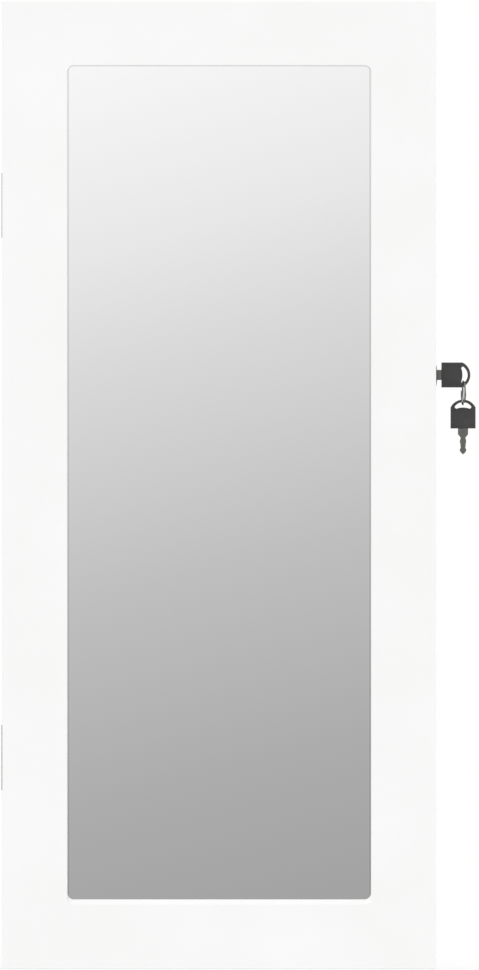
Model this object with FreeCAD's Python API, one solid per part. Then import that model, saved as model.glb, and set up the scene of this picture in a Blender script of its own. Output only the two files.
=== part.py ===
import FreeCAD, Part
import math
import os

# A lockable jewelry cabinet that hangs on a wall behind a framed mirror door.
# Millimetres. X runs to the viewer's right, Y from the room into the wall, Z up.
# The origin is the centre of the back panel's rear face, which is the wall plane.

# --- carcass
CABINET_WIDTH = 300.0
CABINET_HEIGHT = 670.0
CABINET_DEPTH = 85.0  # wall to the front of the closed door
SIDE_THICKNESS = 12.0
DECK_THICKNESS = 12.0  # top and bottom panels
BACK_THICKNESS = 9.0
BACK_REBATE = 6.0  # how far the back panel is let into the panels round it
EDGE_ROUND = 1.2  # softened outer edges under the paint
LINING_THICKNESS = 1.5  # flock-covered card
LINING_SETBACK = 3.0  # from the carcass front edge
DOWEL_RADIUS = 3.0
DOWEL_LENGTH = 28.0
DOWEL_IN_SIDE = 8.0
DOWEL_INSETS = (16.0, 50.0)  # from the wall plane

# --- door
DOOR_THICKNESS = 16.0
DOOR_GAP = 2.2  # between the door and the carcass, for the hinge leaves
STILE_WIDTH = 45.0
RAIL_WIDTH = 45.0
OPENING_CORNER = 4.5
OPENING_ROUND = 0.6  # softened front edge of the opening
SILL_HEIGHT = 3.25  # bevel along the foot of the opening
MIRROR_RECESS = 4.0  # mirror face behind the door face
MIRROR_THICKNESS = 3.0
MIRROR_OVERLAP = 7.0  # how far the frame laps over the mirror
REBATE_CORNER = 6.0
BACKING_THICKNESS = 3.0
DOOR_LINING_THICKNESS = 2.5
DOOR_LINING_OVERLAP = 6.0  # how far the lining laps past the mirror rebate
BUMPER_RADIUS = 4.0
BUMPER_INSET = 8.0
BUMPER_THICKNESS = 2.0

# --- hinges
HINGE_HEIGHT = 45.0
HINGE_UPPER_Z = 194.0
HINGE_LOWER_Z = -189.0
PIN_INSET = 0.8  # pin axis inside the outer face of the side panel
KNUCKLE_RADIUS = 2.0
PIN_RADIUS = 1.0
KNUCKLES = 5
KNUCKLE_GAP = 0.2
LEAF_THICKNESS = 1.0
LEAF_WIDTH = 10.2
LEAF_SCREW_INSET = 5.8  # screw line from the pin axis
LEAF_SCREW_PITCH = 28.0

# --- cam lock
LOCK_Z = 76.7
LOCK_BACKSET = 25.0  # lock axis behind the door's back face
FLANGE_RADIUS = 9.0
FLANGE_RIM = 0.6
FLANGE_DOME = 1.7
FLANGE_LAND = 0.6  # flat ring round the plug, at the top of the dome
FLANGE_SHOULDER = (7.6, 1.3)  # radius and height where the dome's slope changes
BARREL_RADIUS = 6.0
BARREL_FLAT = 5.2
BARREL_LENGTH = 19.0
PLUG_RADIUS = 4.15
COLLAR_RADIUS = 4.9
COLLAR_THICKNESS = 0.8
LOCK_NUT_ACROSS = 15.0
LOCK_NUT_THICKNESS = 3.5
CAM_THICKNESS = 1.6
CAM_HUB_RADIUS = 6.0
CAM_TIP_RADIUS = 4.0
CAM_REACH = 20.0
TANG_SIDE = 5.0
CAM_SCREW_HEAD = 3.2
CAM_SCREW_SHANK = 1.2
CAM_SCREW_HEAD_HEIGHT = 1.8
CAM_SCREW_LENGTH = 6.0

# --- strike on the door
STRIKE_THICKNESS = 1.5
STRIKE_CAM_GAP = 1.7  # between the strike's leg and the cam
STRIKE_BASE_WIDTH = 11.5
STRIKE_BASE_HEIGHT = 26.0
STRIKE_TOP_BELOW_LOCK = 11.0
STRIKE_LIP_HEIGHT = 10.0
STRIKE_LIP_LENGTH = 7.0
STRIKE_LIP_GAP = 1.2  # behind the turned cam

# --- keys
KEY_HEAD_LENGTH = 20.1
KEY_HEAD_WIDTH = 17.4
KEY_HEAD_STRAIGHT = 14.7  # straight sides before the rounded end
KEY_HEAD_THICKNESS = 2.8
KEY_HEAD_BEVEL = 0.5
KEY_HEAD_RIM = 1.9
KEY_PANEL_SINK = 0.3
KEY_TANG_LENGTH = 8.0
KEY_THICKNESS = 1.6
KEY_GROOVE_WIDTH = 1.1
KEY_GROOVE_DEPTH = 0.35
SHOULDER_LENGTH = 4.0
SHOULDER_WIDTH = 7.05
# each bitting station: distance from the head, half the blade's width there
BITTING = ((6.4, 1.65), (8.6, 2.2), (9.4, 2.2), (11.2, 1.75), (12.0, 1.85),
           (13.3, 1.6), (14.6, 2.25), (15.4, 2.25), (16.8, 1.45))
BLADE_LENGTH = 18.1
# the finger hole: half its width, and the heights of its ends, crown, floor and hump
HOLE_HALF_WIDTH = 5.8
HOLE_ENDS = 15.2
HOLE_CROWN = 18.3
HOLE_FLOOR = 14.15
HOLE_HUMP = 14.6
HOLE_LOBE = 3.6
HOLE_CORNER_INSET = 0.2  # how far the corners between end and floor draw in

# --- split ring between the keys
RING_RADIUS = 8.05  # to the middle of the wire
RING_WIRE_RADIUS = 0.6  # to the flats of the rolled wire
RING_LEAN = 8.8  # each end of the wire leans aside by this angle, so that the ends pass
RING_UPPER_SWEEP = 145.0  # of the end that comes over the top, towards the front
RING_LOWER_SWEEP = 100.0  # of the end that comes from below
RING_STATION = 15.05  # along the key head, where the ring hangs
RING_SEAT = 1.4  # middle of the wire to the wall of the finger hole's end
RING_CROWN_SEAT = 1.5  # middle of the wire to the crown of the spare key's hole

# --- inside the carcass
HOOK_RAIL_DROP = 14.0
HOOK_RAIL_HEIGHT = 26.0
HOOK_RAIL_THICKNESS = 10.0
HOOK_COUNT = 8
HOOK_PITCH = 30.0
HOOK_WIRE_RADIUS = 1.3
HOOK_REACH = 9.0
HOOK_BEND = 4.0
HOOK_RISE = 5.0
HOOK_TIP_RADIUS = 2.0
HOOK_TIP_HEIGHT = 1.6
HOOK_COLLAR_RADIUS = 3.5
HOOK_COLLAR_THICKNESS = 1.2
HOOK_SHANK = 8.0
SHELF_THICKNESS = 9.0
SHELF_DEPTH = 43.5
SHELF_BELOW_LOCK = 46.0
LOWER_BAY_HEIGHT = 112.0
SHELF_PIN_RADIUS = 2.5
SHELF_PIN_OUT = 8.0
SHELF_PIN_IN = 7.0
SHELF_PIN_INSETS = (10.0, 34.0)  # behind the shelf's front edge
GUARD_RADIUS = 2.0
GUARD_HEIGHT = 12.0
GUARD_INTO_SIDE = 3.0
GUARD_SETBACK = 2.5  # behind the shelf's front edge
ROLL_COUNT = 5
ROLL_HEIGHT = 21.0
ROLL_DEPTH = 24.0
ROLL_GAP = 0.4
TRAY_WALL = 3.0
TRAY_FLOOR = 2.0
TRAY_DEPTH = 27.0
ROD_RADIUS = 4.0
ROD_BELOW_TRAY = 26.0
ROD_FROM_LINING = 22.0
CUP_RADIUS = 8.0
CUP_LENGTH = 7.0
CUP_SOCKET = 5.5

# --- earring fittings on the door
SLIT_ROWS = 5
SLIT_COLUMNS = 12
SLIT_PITCH_X = 16.0
SLIT_PITCH_Z = 36.0
SLIT_LENGTH = 8.0
SLIT_WIDTH = 1.4
SLIT_TOP_DROP = 36.0  # first row below the top of the opening
BAR_COUNT = 4
BAR_PITCH = 78.0
BAR_LENGTH = 190.0
BAR_REACH = 9.0
BAR_THICKNESS = 2.5
BAR_TONGUE = 4.0
BAR_DROP = 60.0  # first bar below the last row of slits
BAR_NOTCHES = 19
BAR_NOTCH_WIDTH = 1.6
BAR_NOTCH_DEPTH = 4.0

# --- wall hangers
HANGER_SPACING = 200.0
HANGER_DROP = 45.0  # entry hole below the top of the cabinet
HANGER_WIDTH = 20.0
HANGER_LENGTH = 44.0
HANGER_THICKNESS = 1.2
KEYHOLE_ENTRY = 4.5
KEYHOLE_SLOT = 2.2
KEYHOLE_TRAVEL = 11.0
KEYHOLE_POCKET = 6.0

# --- magnetic catch
CATCH_FROM_LINING = 36.5  # its middle from the side lining
CATCH_WIDTH = 40.0
CATCH_HEIGHT = 12.0
CATCH_DEPTH = 15.0
CATCH_PROUD = 0.3
MAGNET_WIDTH = 16.0
MAGNET_HEIGHT = 8.0
MAGNET_LENGTH = 12.0
MAGNET_PROUD = 0.3  # of the catch body
KEEPER_WIDTH = 32.0
KEEPER_HEIGHT = 12.0
KEEPER_THICKNESS = 1.2

# --- fasteners: head radius, shank radius, length
LEAF_SCREW = (2.2, 1.2, 11.0)
HANGER_SCREW = (2.2, 1.1, 6.5)
FITTING_SCREW = (2.5, 1.3, 11.0)
CATCH_SCREW = (2.4, 1.2, 18.0)

# --- clearances
FIT = 0.2  # between pieces that are slipped together
RUNNING = 0.05  # radial, a pin in its bore
PLUG_RUNNING = 0.07
KEYWAY_FIT = 0.15
KNUCKLE_CLEAR = 0.3  # round the hinge barrel
DRILL = 0.05  # radial, a hole drilled for a screw, dowel or rod
REACH = 1.0  # how far a cutter runs past the face it opens

# --- planes that the pieces share
HALF_WIDTH = CABINET_WIDTH / 2
HALF_HEIGHT = CABINET_HEIGHT / 2
FRONT_Y = -CABINET_DEPTH
DOOR_BACK_Y = FRONT_Y + DOOR_THICKNESS
BODY_FRONT_Y = DOOR_BACK_Y + DOOR_GAP
INNER_X = HALF_WIDTH - SIDE_THICKNESS
INNER_Z = HALF_HEIGHT - DECK_THICKNESS
LINED_X = INNER_X - LINING_THICKNESS
LINED_Z = INNER_Z - LINING_THICKNESS
LINED_Y = -BACK_THICKNESS - LINING_THICKNESS
OPENING_X = HALF_WIDTH - STILE_WIDTH
OPENING_Z = HALF_HEIGHT - RAIL_WIDTH
MIRROR_FACE_Y = FRONT_Y + MIRROR_RECESS
BACKING_Y = MIRROR_FACE_Y + MIRROR_THICKNESS
FOAM_Y = BACKING_Y + BACKING_THICKNESS
DOOR_LINING_Y = DOOR_BACK_Y - DOOR_LINING_THICKNESS
PIN_X = -HALF_WIDTH + PIN_INSET
PIN_Y = BODY_FRONT_Y - DOOR_GAP / 2
LOCK_Y = DOOR_BACK_Y + LOCK_BACKSET
SHELF_FRONT_Y = LINED_Y - SHELF_DEPTH
UPPER_SHELF_TOP = LOCK_Z - SHELF_BELOW_LOCK
LOWER_SHELF_TOP = -LINED_Z + LOWER_BAY_HEIGHT + SHELF_THICKNESS
SHELF_TOPS = (UPPER_SHELF_TOP, LOWER_SHELF_TOP)
TRAY_TOP = UPPER_SHELF_TOP - SHELF_THICKNESS
ROLL_PITCH = ROLL_HEIGHT + ROLL_GAP
TRAY_HEIGHT = 2 * TRAY_WALL + ROLL_COUNT * ROLL_PITCH + ROLL_GAP
ROD_Z = TRAY_TOP - TRAY_HEIGHT - ROD_BELOW_TRAY
ROD_Y = LINED_Y - ROD_FROM_LINING
HOOK_Z = LINED_Z - HOOK_RAIL_DROP - HOOK_RAIL_HEIGHT / 2
HOOK_RAIL_Y = LINED_Y - HOOK_RAIL_THICKNESS
HANGER_Z = HALF_HEIGHT - HANGER_DROP
CATCH_X = LINED_X - CATCH_FROM_LINING

X_AXIS = FreeCAD.Vector(1, 0, 0)
Y_AXIS = FreeCAD.Vector(0, 1, 0)
Z_AXIS = FreeCAD.Vector(0, 0, 1)
NEAR = 1e-4
WIRE_FLATS = 8  # sides of a bent wire's section


def vec(x, y, z):
    return FreeCAD.Vector(x, y, z)


def block(x0, x1, y0, y1, z0, z1):
    """A box between two corners, given in either order."""
    low = vec(min(x0, x1), min(y0, y1), min(z0, z1))
    return Part.makeBox(abs(x1 - x0), abs(y1 - y0), abs(z1 - z0), low)


def rod(radius, start, end):
    """A solid cylinder from one point to another."""
    along = end - start
    return Part.makeCylinder(radius, along.Length, start, along)


def solid_of(points, direction):
    """A prism: a closed outline of straight sides, moved along a direction."""
    return Part.Face(Part.makePolygon(list(points) + [points[0]])).extrude(direction)


def round_edges(shape, radius, x=None, y=None, z=None):
    """Fillets the straight edges whose ends all lie at the given coordinates."""

    def lies_there(edge):
        return all(
            (x is None or abs(v.X - x) < NEAR)
            and (y is None or abs(v.Y - y) < NEAR)
            and (z is None or abs(v.Z - z) < NEAR)
            for v in edge.Vertexes
        )

    chosen = [edge for edge in shape.Edges if lies_there(edge)]
    return shape.makeFillet(radius, chosen)


def rounded_window(half_x, z0, z1, corner, y0, y1):
    """A plate with rounded corners, upright and parallel to the wall."""
    plate = block(-half_x, half_x, y0, y1, z0, z1)
    upright = [e for e in plate.Edges if abs(e.tangentAt(e.FirstParameter).y) > 0.5]
    return plate.makeFillet(corner, upright)


def wire_corner(radius):
    """How far the corners of a flatted wire lie from its middle."""
    return radius / math.cos(math.pi / WIRE_FLATS)


def wire_section(radius, centre, normal):
    """The section of a drawn wire with eight flats, radius being that to the flats."""
    corner = wire_corner(radius)
    turns = [(2 * n + 1) * math.pi / WIRE_FLATS for n in range(WIRE_FLATS)]
    points = [vec(corner * math.cos(turn), corner * math.sin(turn), 0) for turn in turns]
    section = Part.Face(Part.makePolygon(points + [points[0]]))
    section.Placement = FreeCAD.Placement(centre, FreeCAD.Rotation(Z_AXIS, normal))
    return section


def wire(radius, start, end):
    """A straight length of wire."""
    return wire_section(radius, start, end - start).extrude(end - start)


def aimed(shape, position, direction):
    """Turns a shape made along +Z to a direction, and moves its origin to a position."""
    moved = shape.copy()
    moved.Placement = FreeCAD.Placement(position, FreeCAD.Rotation(Z_AXIS, direction))
    return moved


def screw_body(size, extra):
    """A countersunk screw along +Z, its head's face at z 0, grown by extra all round."""
    head, shank, length = size
    taper = head - shank
    profile = [
        vec(0, 0, 0),
        vec(head + extra, 0, 0),
        vec(shank + extra, 0, taper),
        vec(shank + extra, 0, length + extra),
        vec(0, 0, length + extra),
    ]
    face = Part.Face(Part.makePolygon(profile + [profile[0]]))
    return face.revolve(vec(0, 0, 0), Z_AXIS, 360)


def screw(size, position, direction):
    """A countersunk screw, driven in along a direction."""
    return aimed(screw_body(size, 0.0), position, direction)


def screw_hole(size, position, direction):
    """The space that a screw takes, with the countersink open outwards."""
    mouth = Part.makeCylinder(size[0] + DRILL, REACH, vec(0, 0, -REACH), Z_AXIS)
    return aimed(screw_body(size, DRILL).fuse(mouth), position, direction)


def grouped(shapes):
    """Separate like solids that share one node."""
    return Part.makeCompound(list(shapes))


def cut_all(shape, cutters):
    cutters = list(cutters)
    return shape.cut(cutters) if cutters else shape


# ---------------------------------------------------------------- places that repeat


def hinge_centres():
    return {"upper": HINGE_UPPER_Z, "lower": HINGE_LOWER_Z}


def leaf_screw_places(leaf_face_y):
    """The four screws of one side's leaves: two a leaf."""
    x = PIN_X + LEAF_SCREW_INSET
    return [
        vec(x, leaf_face_y, centre + level * LEAF_SCREW_PITCH / 2)
        for centre in hinge_centres().values()
        for level in (-1, 1)
    ]


def dowel_lines():
    """Each dowel as its outer and inner end, for the four corners of the carcass."""
    middle_z = HALF_HEIGHT - DECK_THICKNESS / 2
    start = INNER_X + DOWEL_IN_SIDE
    end = start - DOWEL_LENGTH
    return [
        (vec(side * start, -inset, level * middle_z), vec(side * end, -inset, level * middle_z))
        for side in (-1, 1)
        for level in (-1, 1)
        for inset in DOWEL_INSETS
    ]


def shelf_pin_lines():
    """Each shelf pin from inside the side panel to its free end, just under a shelf.

    The ring tray carries the back of the upper shelf, which has pins at its front only.
    """
    seats = [(UPPER_SHELF_TOP, SHELF_PIN_INSETS[0])]
    seats += [(LOWER_SHELF_TOP, inset) for inset in SHELF_PIN_INSETS]
    lines = []
    for top, inset in seats:
        y = SHELF_FRONT_Y + inset
        z = top - SHELF_THICKNESS - SHELF_PIN_RADIUS
        for side in (-1, 1):
            inner = vec(side * (INNER_X + SHELF_PIN_IN), y, z)
            free = vec(side * (LINED_X - SHELF_PIN_OUT), y, z)
            lines.append((inner, free))
    return lines


def guard_lines():
    """The three guard rails, one in front of each shelf and one above the floor."""
    end = INNER_X + GUARD_INTO_SIDE
    y = SHELF_FRONT_Y + GUARD_SETBACK
    levels = [top + GUARD_HEIGHT for top in SHELF_TOPS] + [-LINED_Z + GUARD_HEIGHT]
    return [(vec(-end, y, z), vec(end, y, z)) for z in levels]


def hook_places():
    first = -(HOOK_COUNT - 1) * HOOK_PITCH / 2
    return [vec(first + n * HOOK_PITCH, HOOK_RAIL_Y, HOOK_Z) for n in range(HOOK_COUNT)]


def side_holes(grow):
    """What the side panels and their linings are drilled for, apart from the lock."""
    return [rod(radius + grow, start, end) for radius, start, end in
            [(SHELF_PIN_RADIUS, *line) for line in shelf_pin_lines()]
            + [(GUARD_RADIUS, *line) for line in guard_lines()]]


# ---------------------------------------------------------------- carcass


def hinge_notches():
    """The room that each hinge barrel takes out of the side panel and the door."""
    radius = KNUCKLE_RADIUS + KNUCKLE_CLEAR
    half = HINGE_HEIGHT / 2 + KNUCKLE_CLEAR
    return [
        rod(radius, vec(PIN_X, PIN_Y, centre - half), vec(PIN_X, PIN_Y, centre + half))
        for centre in hinge_centres().values()
    ]


def side_panel(side):
    """A full-height side with a rebate for the back panel. side is -1 left, 1 right."""
    outer = side * HALF_WIDTH
    inner = side * INNER_X
    panel = block(inner, outer, BODY_FRONT_Y, 0, -HALF_HEIGHT, HALF_HEIGHT)
    panel = round_edges(panel, EDGE_ROUND, x=outer, y=BODY_FRONT_Y)
    for level in (-1, 1):
        panel = round_edges(panel, EDGE_ROUND, x=outer, z=level * HALF_HEIGHT)
    rebate_z = INNER_Z + BACK_REBATE
    rebate_x = inner + side * BACK_REBATE
    cutters = [block(inner - side * REACH, rebate_x, -BACK_THICKNESS, REACH, -rebate_z, rebate_z)]
    cutters += [rod(DOWEL_RADIUS + DRILL, start, end) for start, end in dowel_lines()]
    cutters += side_holes(DRILL)
    if side < 0:
        cutters += hinge_notches()
        cutters += [screw_hole(LEAF_SCREW, place, Y_AXIS)
                    for place in leaf_screw_places(BODY_FRONT_Y - LEAF_THICKNESS)]
    else:
        cutters.append(lock_bore())
    return cut_all(panel, cutters)


def deck_panel(level):
    """The top or bottom panel, between the sides. level is 1 top, -1 bottom."""
    outer = level * HALF_HEIGHT
    inner = level * INNER_Z
    panel = block(-INNER_X, INNER_X, BODY_FRONT_Y, 0, inner, outer)
    panel = round_edges(panel, EDGE_ROUND, y=BODY_FRONT_Y, z=outer)
    rebate_z = inner + level * BACK_REBATE
    cutters = [
        block(-HALF_WIDTH, HALF_WIDTH, -BACK_THICKNESS, REACH, inner - level * REACH, rebate_z)
    ]
    cutters += [rod(DOWEL_RADIUS + DRILL, start, end) for start, end in dowel_lines()]
    if level > 0:
        cutters += [screw_hole(CATCH_SCREW, place, Z_AXIS) for place in catch_screw_places()]
    return cut_all(panel, cutters)


def dowels():
    return grouped(rod(DOWEL_RADIUS, start, end) for start, end in dowel_lines())


def keyhole(entry, slot, y0, y1, x):
    """An upright keyhole: a round entry below a slot that is closed by a half round."""
    top = HANGER_Z + KEYHOLE_TRAVEL
    shape = rod(entry, vec(x, y0, HANGER_Z), vec(x, y1, HANGER_Z))
    shape = shape.fuse(rod(slot, vec(x, y0, top), vec(x, y1, top)))
    return shape.fuse(block(x - slot, x + slot, y0, y1, HANGER_Z, top))


def hanger_sites():
    return [side * HANGER_SPACING / 2 for side in (-1, 1)]


def hanger_screw_places():
    """One screw above and one below each keyhole, in the middle of the metal there."""
    middle = HANGER_Z + (KEYHOLE_TRAVEL - KEYHOLE_ENTRY) / 2
    above = HANGER_Z + KEYHOLE_TRAVEL + KEYHOLE_SLOT
    below = HANGER_Z - KEYHOLE_ENTRY
    top = middle + HANGER_LENGTH / 2
    foot = middle - HANGER_LENGTH / 2
    return [vec(x, 0, z) for x in hanger_sites() for z in ((above + top) / 2, (below + foot) / 2)]


def hanger_outline(x, grow):
    """A hanger plate with round ends, let into the rear face."""
    middle = HANGER_Z + (KEYHOLE_TRAVEL - KEYHOLE_ENTRY) / 2
    radius = HANGER_WIDTH / 2
    half = HANGER_LENGTH / 2 - radius
    plate = block(x - radius - grow, x + radius + grow, -HANGER_THICKNESS, 0, middle - half, middle + half)
    for z in (middle - half, middle + half):
        plate = plate.fuse(rod(radius + grow, vec(x, -HANGER_THICKNESS, z), vec(x, 0, z)))
    return plate.removeSplitter()


def back_panel():
    """The board that hangs on the wall, with room for the two keyhole plates."""
    x = INNER_X + BACK_REBATE - FIT
    z = INNER_Z + BACK_REBATE - FIT
    panel = block(-x, x, -BACK_THICKNESS, 0, -z, z)
    cutters = [hanger_outline(site, FIT) for site in hanger_sites()]
    depth = -HANGER_THICKNESS - KEYHOLE_POCKET
    cutters += [
        keyhole(KEYHOLE_ENTRY + FIT, KEYHOLE_ENTRY + FIT, depth, 0, site) for site in hanger_sites()
    ]
    cutters += [screw_hole(HANGER_SCREW, place, -Y_AXIS) for place in hanger_screw_places()]
    return cut_all(panel, cutters)


def hanger_plates():
    plates = []
    for site in hanger_sites():
        cutters = [keyhole(KEYHOLE_ENTRY, KEYHOLE_SLOT, -HANGER_THICKNESS - REACH, REACH, site)]
        cutters += [screw_hole(HANGER_SCREW, place, -Y_AXIS) for place in hanger_screw_places()]
        plates.append(hanger_outline(site, 0.0).cut(cutters))
    return grouped(plates)


def hanger_screws():
    return grouped(screw(HANGER_SCREW, place, -Y_AXIS) for place in hanger_screw_places())


# ---------------------------------------------------------------- linings and fittings


def back_lining():
    return block(-INNER_X, INNER_X, LINED_Y, -BACK_THICKNESS, -INNER_Z, INNER_Z)


def side_lining(side):
    sheet = block(
        side * LINED_X, side * INNER_X, BODY_FRONT_Y + LINING_SETBACK, LINED_Y, -INNER_Z, INNER_Z
    )
    cutters = side_holes(DRILL)
    if side > 0:
        cutters.append(lock_bore())
    return cut_all(sheet, cutters)


def deck_linings():
    front = BODY_FRONT_Y + LINING_SETBACK
    sheets = []
    for level in (-1, 1):
        sheet = block(-LINED_X, LINED_X, front, LINED_Y, level * LINED_Z, level * INNER_Z)
        if level > 0:
            sheet = cut_all(
                sheet, [screw_hole(CATCH_SCREW, place, Z_AXIS) for place in catch_screw_places()]
            )
        sheets.append(sheet)
    return grouped(sheets)


def hook(place):
    """A cup hook: shank, collar, a bend upwards and a button on its tip."""
    bend_y = place.y - HOOK_REACH
    tip_y = bend_y - HOOK_BEND
    bend_top = place.z + HOOK_BEND
    tip_z = bend_top + HOOK_RISE
    tip_foot = vec(place.x, tip_y, tip_z)
    elbow = vec(place.x, bend_y, place.z)
    shank = wire(HOOK_WIRE_RADIUS, elbow, place + Y_AXIS * HOOK_SHANK)
    centre = vec(place.x, bend_y, bend_top)
    bend = wire_section(HOOK_WIRE_RADIUS, elbow, Y_AXIS).revolve(centre, -X_AXIS, 90)
    rise = wire(HOOK_WIRE_RADIUS, vec(place.x, tip_y, bend_top), tip_foot)
    tip = rod(HOOK_TIP_RADIUS, tip_foot, tip_foot + Z_AXIS * HOOK_TIP_HEIGHT)
    collar = rod(HOOK_COLLAR_RADIUS, place, place - Y_AXIS * HOOK_COLLAR_THICKNESS)
    return shank.fuse([bend, rise, tip, collar]).removeSplitter()


def hook_rail():
    x = LINED_X - FIT
    half = HOOK_RAIL_HEIGHT / 2
    rail = block(-x, x, HOOK_RAIL_Y, LINED_Y, HOOK_Z - half, HOOK_Z + half)
    bore = wire_corner(HOOK_WIRE_RADIUS) + DRILL
    holes = [
        rod(bore, place - Y_AXIS * REACH, place + Y_AXIS * (HOOK_SHANK + DRILL))
        for place in hook_places()
    ]
    return rail.cut(holes)


def necklace_hooks():
    return grouped(hook(place) for place in hook_places())


def shelf(top):
    x = LINED_X - FIT
    board = block(-x, x, SHELF_FRONT_Y, LINED_Y, top - SHELF_THICKNESS, top)
    return round_edges(board, EDGE_ROUND, y=SHELF_FRONT_Y, z=top)


def shelf_pins():
    return grouped(rod(SHELF_PIN_RADIUS, start, end) for start, end in shelf_pin_lines())


def guard_rails():
    return grouped(rod(GUARD_RADIUS, start, end) for start, end in guard_lines())


def ring_tray():
    """An open-fronted box that holds the ring rolls."""
    x = LINED_X - FIT
    foot = TRAY_TOP - TRAY_HEIGHT
    tray = block(-x, x, LINED_Y - TRAY_DEPTH, LINED_Y, foot, TRAY_TOP)
    room = block(
        -x + TRAY_WALL, x - TRAY_WALL,
        LINED_Y - TRAY_DEPTH - REACH, LINED_Y - TRAY_FLOOR,
        foot + TRAY_WALL, TRAY_TOP - TRAY_WALL,
    )
    return tray.cut(room)


def ring_roll(number):
    """One roll, counted from the top: flat at the back and half round at the front."""
    half = ROLL_HEIGHT / 2
    x = LINED_X - FIT - TRAY_WALL - FIT
    back = LINED_Y - TRAY_FLOOR - FIT
    middle = TRAY_TOP - TRAY_WALL - ROLL_GAP - half - (number - 1) * ROLL_PITCH
    nose_y = back - ROLL_DEPTH + half
    outline = Part.Wire([
        Part.makeLine(vec(-x, back, middle - half), vec(-x, back, middle + half)),
        Part.makeLine(vec(-x, back, middle + half), vec(-x, nose_y, middle + half)),
        Part.Arc(
            vec(-x, nose_y, middle + half),
            vec(-x, nose_y - half, middle),
            vec(-x, nose_y, middle - half),
        ).toShape(),
        Part.makeLine(vec(-x, nose_y, middle - half), vec(-x, back, middle - half)),
    ])
    return Part.Face(outline).extrude(vec(2 * x, 0, 0))


def bracelet_rod():
    end = LINED_X - CUP_LENGTH + CUP_SOCKET - FIT
    return rod(ROD_RADIUS, vec(-end, ROD_Y, ROD_Z), vec(end, ROD_Y, ROD_Z))


def rod_cups():
    cups = []
    for side in (-1, 1):
        wall = vec(side * LINED_X, ROD_Y, ROD_Z)
        mouth = vec(side * (LINED_X - CUP_LENGTH), ROD_Y, ROD_Z)
        seat = vec(side * (LINED_X - CUP_LENGTH + CUP_SOCKET), ROD_Y, ROD_Z)
        socket = rod(ROD_RADIUS + DRILL, mouth - X_AXIS * side * REACH, seat)
        cups.append(rod(CUP_RADIUS, wall, mouth).cut(socket))
    return grouped(cups)


# ---------------------------------------------------------------- magnetic catch


def catch_screw_places():
    reach = (MAGNET_WIDTH + CATCH_WIDTH) / 4
    y = BODY_FRONT_Y - CATCH_PROUD + CATCH_DEPTH / 2
    return [vec(CATCH_X + side * reach, y, LINED_Z - CATCH_HEIGHT) for side in (-1, 1)]


def magnet_block(grow):
    middle = LINED_Z - CATCH_HEIGHT / 2
    half = MAGNET_HEIGHT / 2 + grow
    front = BODY_FRONT_Y - CATCH_PROUD - MAGNET_PROUD
    return block(
        CATCH_X - MAGNET_WIDTH / 2 - grow, CATCH_X + MAGNET_WIDTH / 2 + grow,
        front, front + MAGNET_LENGTH + grow, middle - half, middle + half,
    )


def catch_body():
    front = BODY_FRONT_Y - CATCH_PROUD
    body = block(
        CATCH_X - CATCH_WIDTH / 2, CATCH_X + CATCH_WIDTH / 2,
        front, front + CATCH_DEPTH, LINED_Z - CATCH_HEIGHT, LINED_Z,
    )
    for x in (CATCH_X - CATCH_WIDTH / 2, CATCH_X + CATCH_WIDTH / 2):
        body = round_edges(body, EDGE_ROUND, x=x, z=LINED_Z - CATCH_HEIGHT)
    cutters = [screw_hole(CATCH_SCREW, place, Z_AXIS) for place in catch_screw_places()]
    return body.cut(cutters + [magnet_block(DRILL)])


def catch_screws():
    return grouped(screw(CATCH_SCREW, place, Z_AXIS) for place in catch_screw_places())


def keeper_place():
    return vec(CATCH_X, DOOR_BACK_Y + KEEPER_THICKNESS, LINED_Z - CATCH_HEIGHT / 2)


def keeper_plate():
    place = keeper_place()
    half_x = KEEPER_WIDTH / 2
    half_z = KEEPER_HEIGHT / 2
    plate = block(
        place.x - half_x, place.x + half_x, DOOR_BACK_Y, place.y, place.z - half_z, place.z + half_z
    )
    return plate.cut(screw_hole(FITTING_SCREW, place, -Y_AXIS))


# ---------------------------------------------------------------- hinges


def leaf(centre, on_door):
    """A hinge leaf with its knuckles, all in one, bored for the pin."""
    foot = centre - HINGE_HEIGHT / 2
    length = (HINGE_HEIGHT - (KNUCKLES - 1) * KNUCKLE_GAP) / KNUCKLES
    face = DOOR_BACK_Y if on_door else BODY_FRONT_Y
    free = face + LEAF_THICKNESS if on_door else face - LEAF_THICKNESS
    plate = block(PIN_X, PIN_X + LEAF_WIDTH, face, free, foot, foot + HINGE_HEIGHT)
    plate = round_edges(plate, EDGE_ROUND, x=PIN_X + LEAF_WIDTH, z=foot)
    plate = round_edges(plate, EDGE_ROUND, x=PIN_X + LEAF_WIDTH, z=foot + HINGE_HEIGHT)
    clear = KNUCKLE_RADIUS + KNUCKLE_CLEAR
    tubes, gaps = [], []
    for number in range(KNUCKLES):
        z0 = foot + number * (length + KNUCKLE_GAP)
        if (number % 2 == 1) == on_door:
            tubes.append(rod(KNUCKLE_RADIUS, vec(PIN_X, PIN_Y, z0), vec(PIN_X, PIN_Y, z0 + length)))
        else:
            z1 = z0 + length + KNUCKLE_GAP
            gaps.append(rod(clear, vec(PIN_X, PIN_Y, z0 - KNUCKLE_GAP), vec(PIN_X, PIN_Y, z1)))
    bore_top = vec(PIN_X, PIN_Y, foot + HINGE_HEIGHT + REACH)
    bore = rod(PIN_RADIUS + RUNNING, vec(PIN_X, PIN_Y, foot - REACH), bore_top)
    inward = -Y_AXIS if on_door else Y_AXIS
    holes = [screw_hole(LEAF_SCREW, place, inward) for place in leaf_screw_places(free)]
    return plate.cut(gaps).fuse(tubes).cut(holes + [bore]).removeSplitter()


def hinge_pins():
    half = HINGE_HEIGHT / 2
    return grouped(
        rod(PIN_RADIUS, vec(PIN_X, PIN_Y, centre - half), vec(PIN_X, PIN_Y, centre + half))
        for centre in hinge_centres().values()
    )


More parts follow.
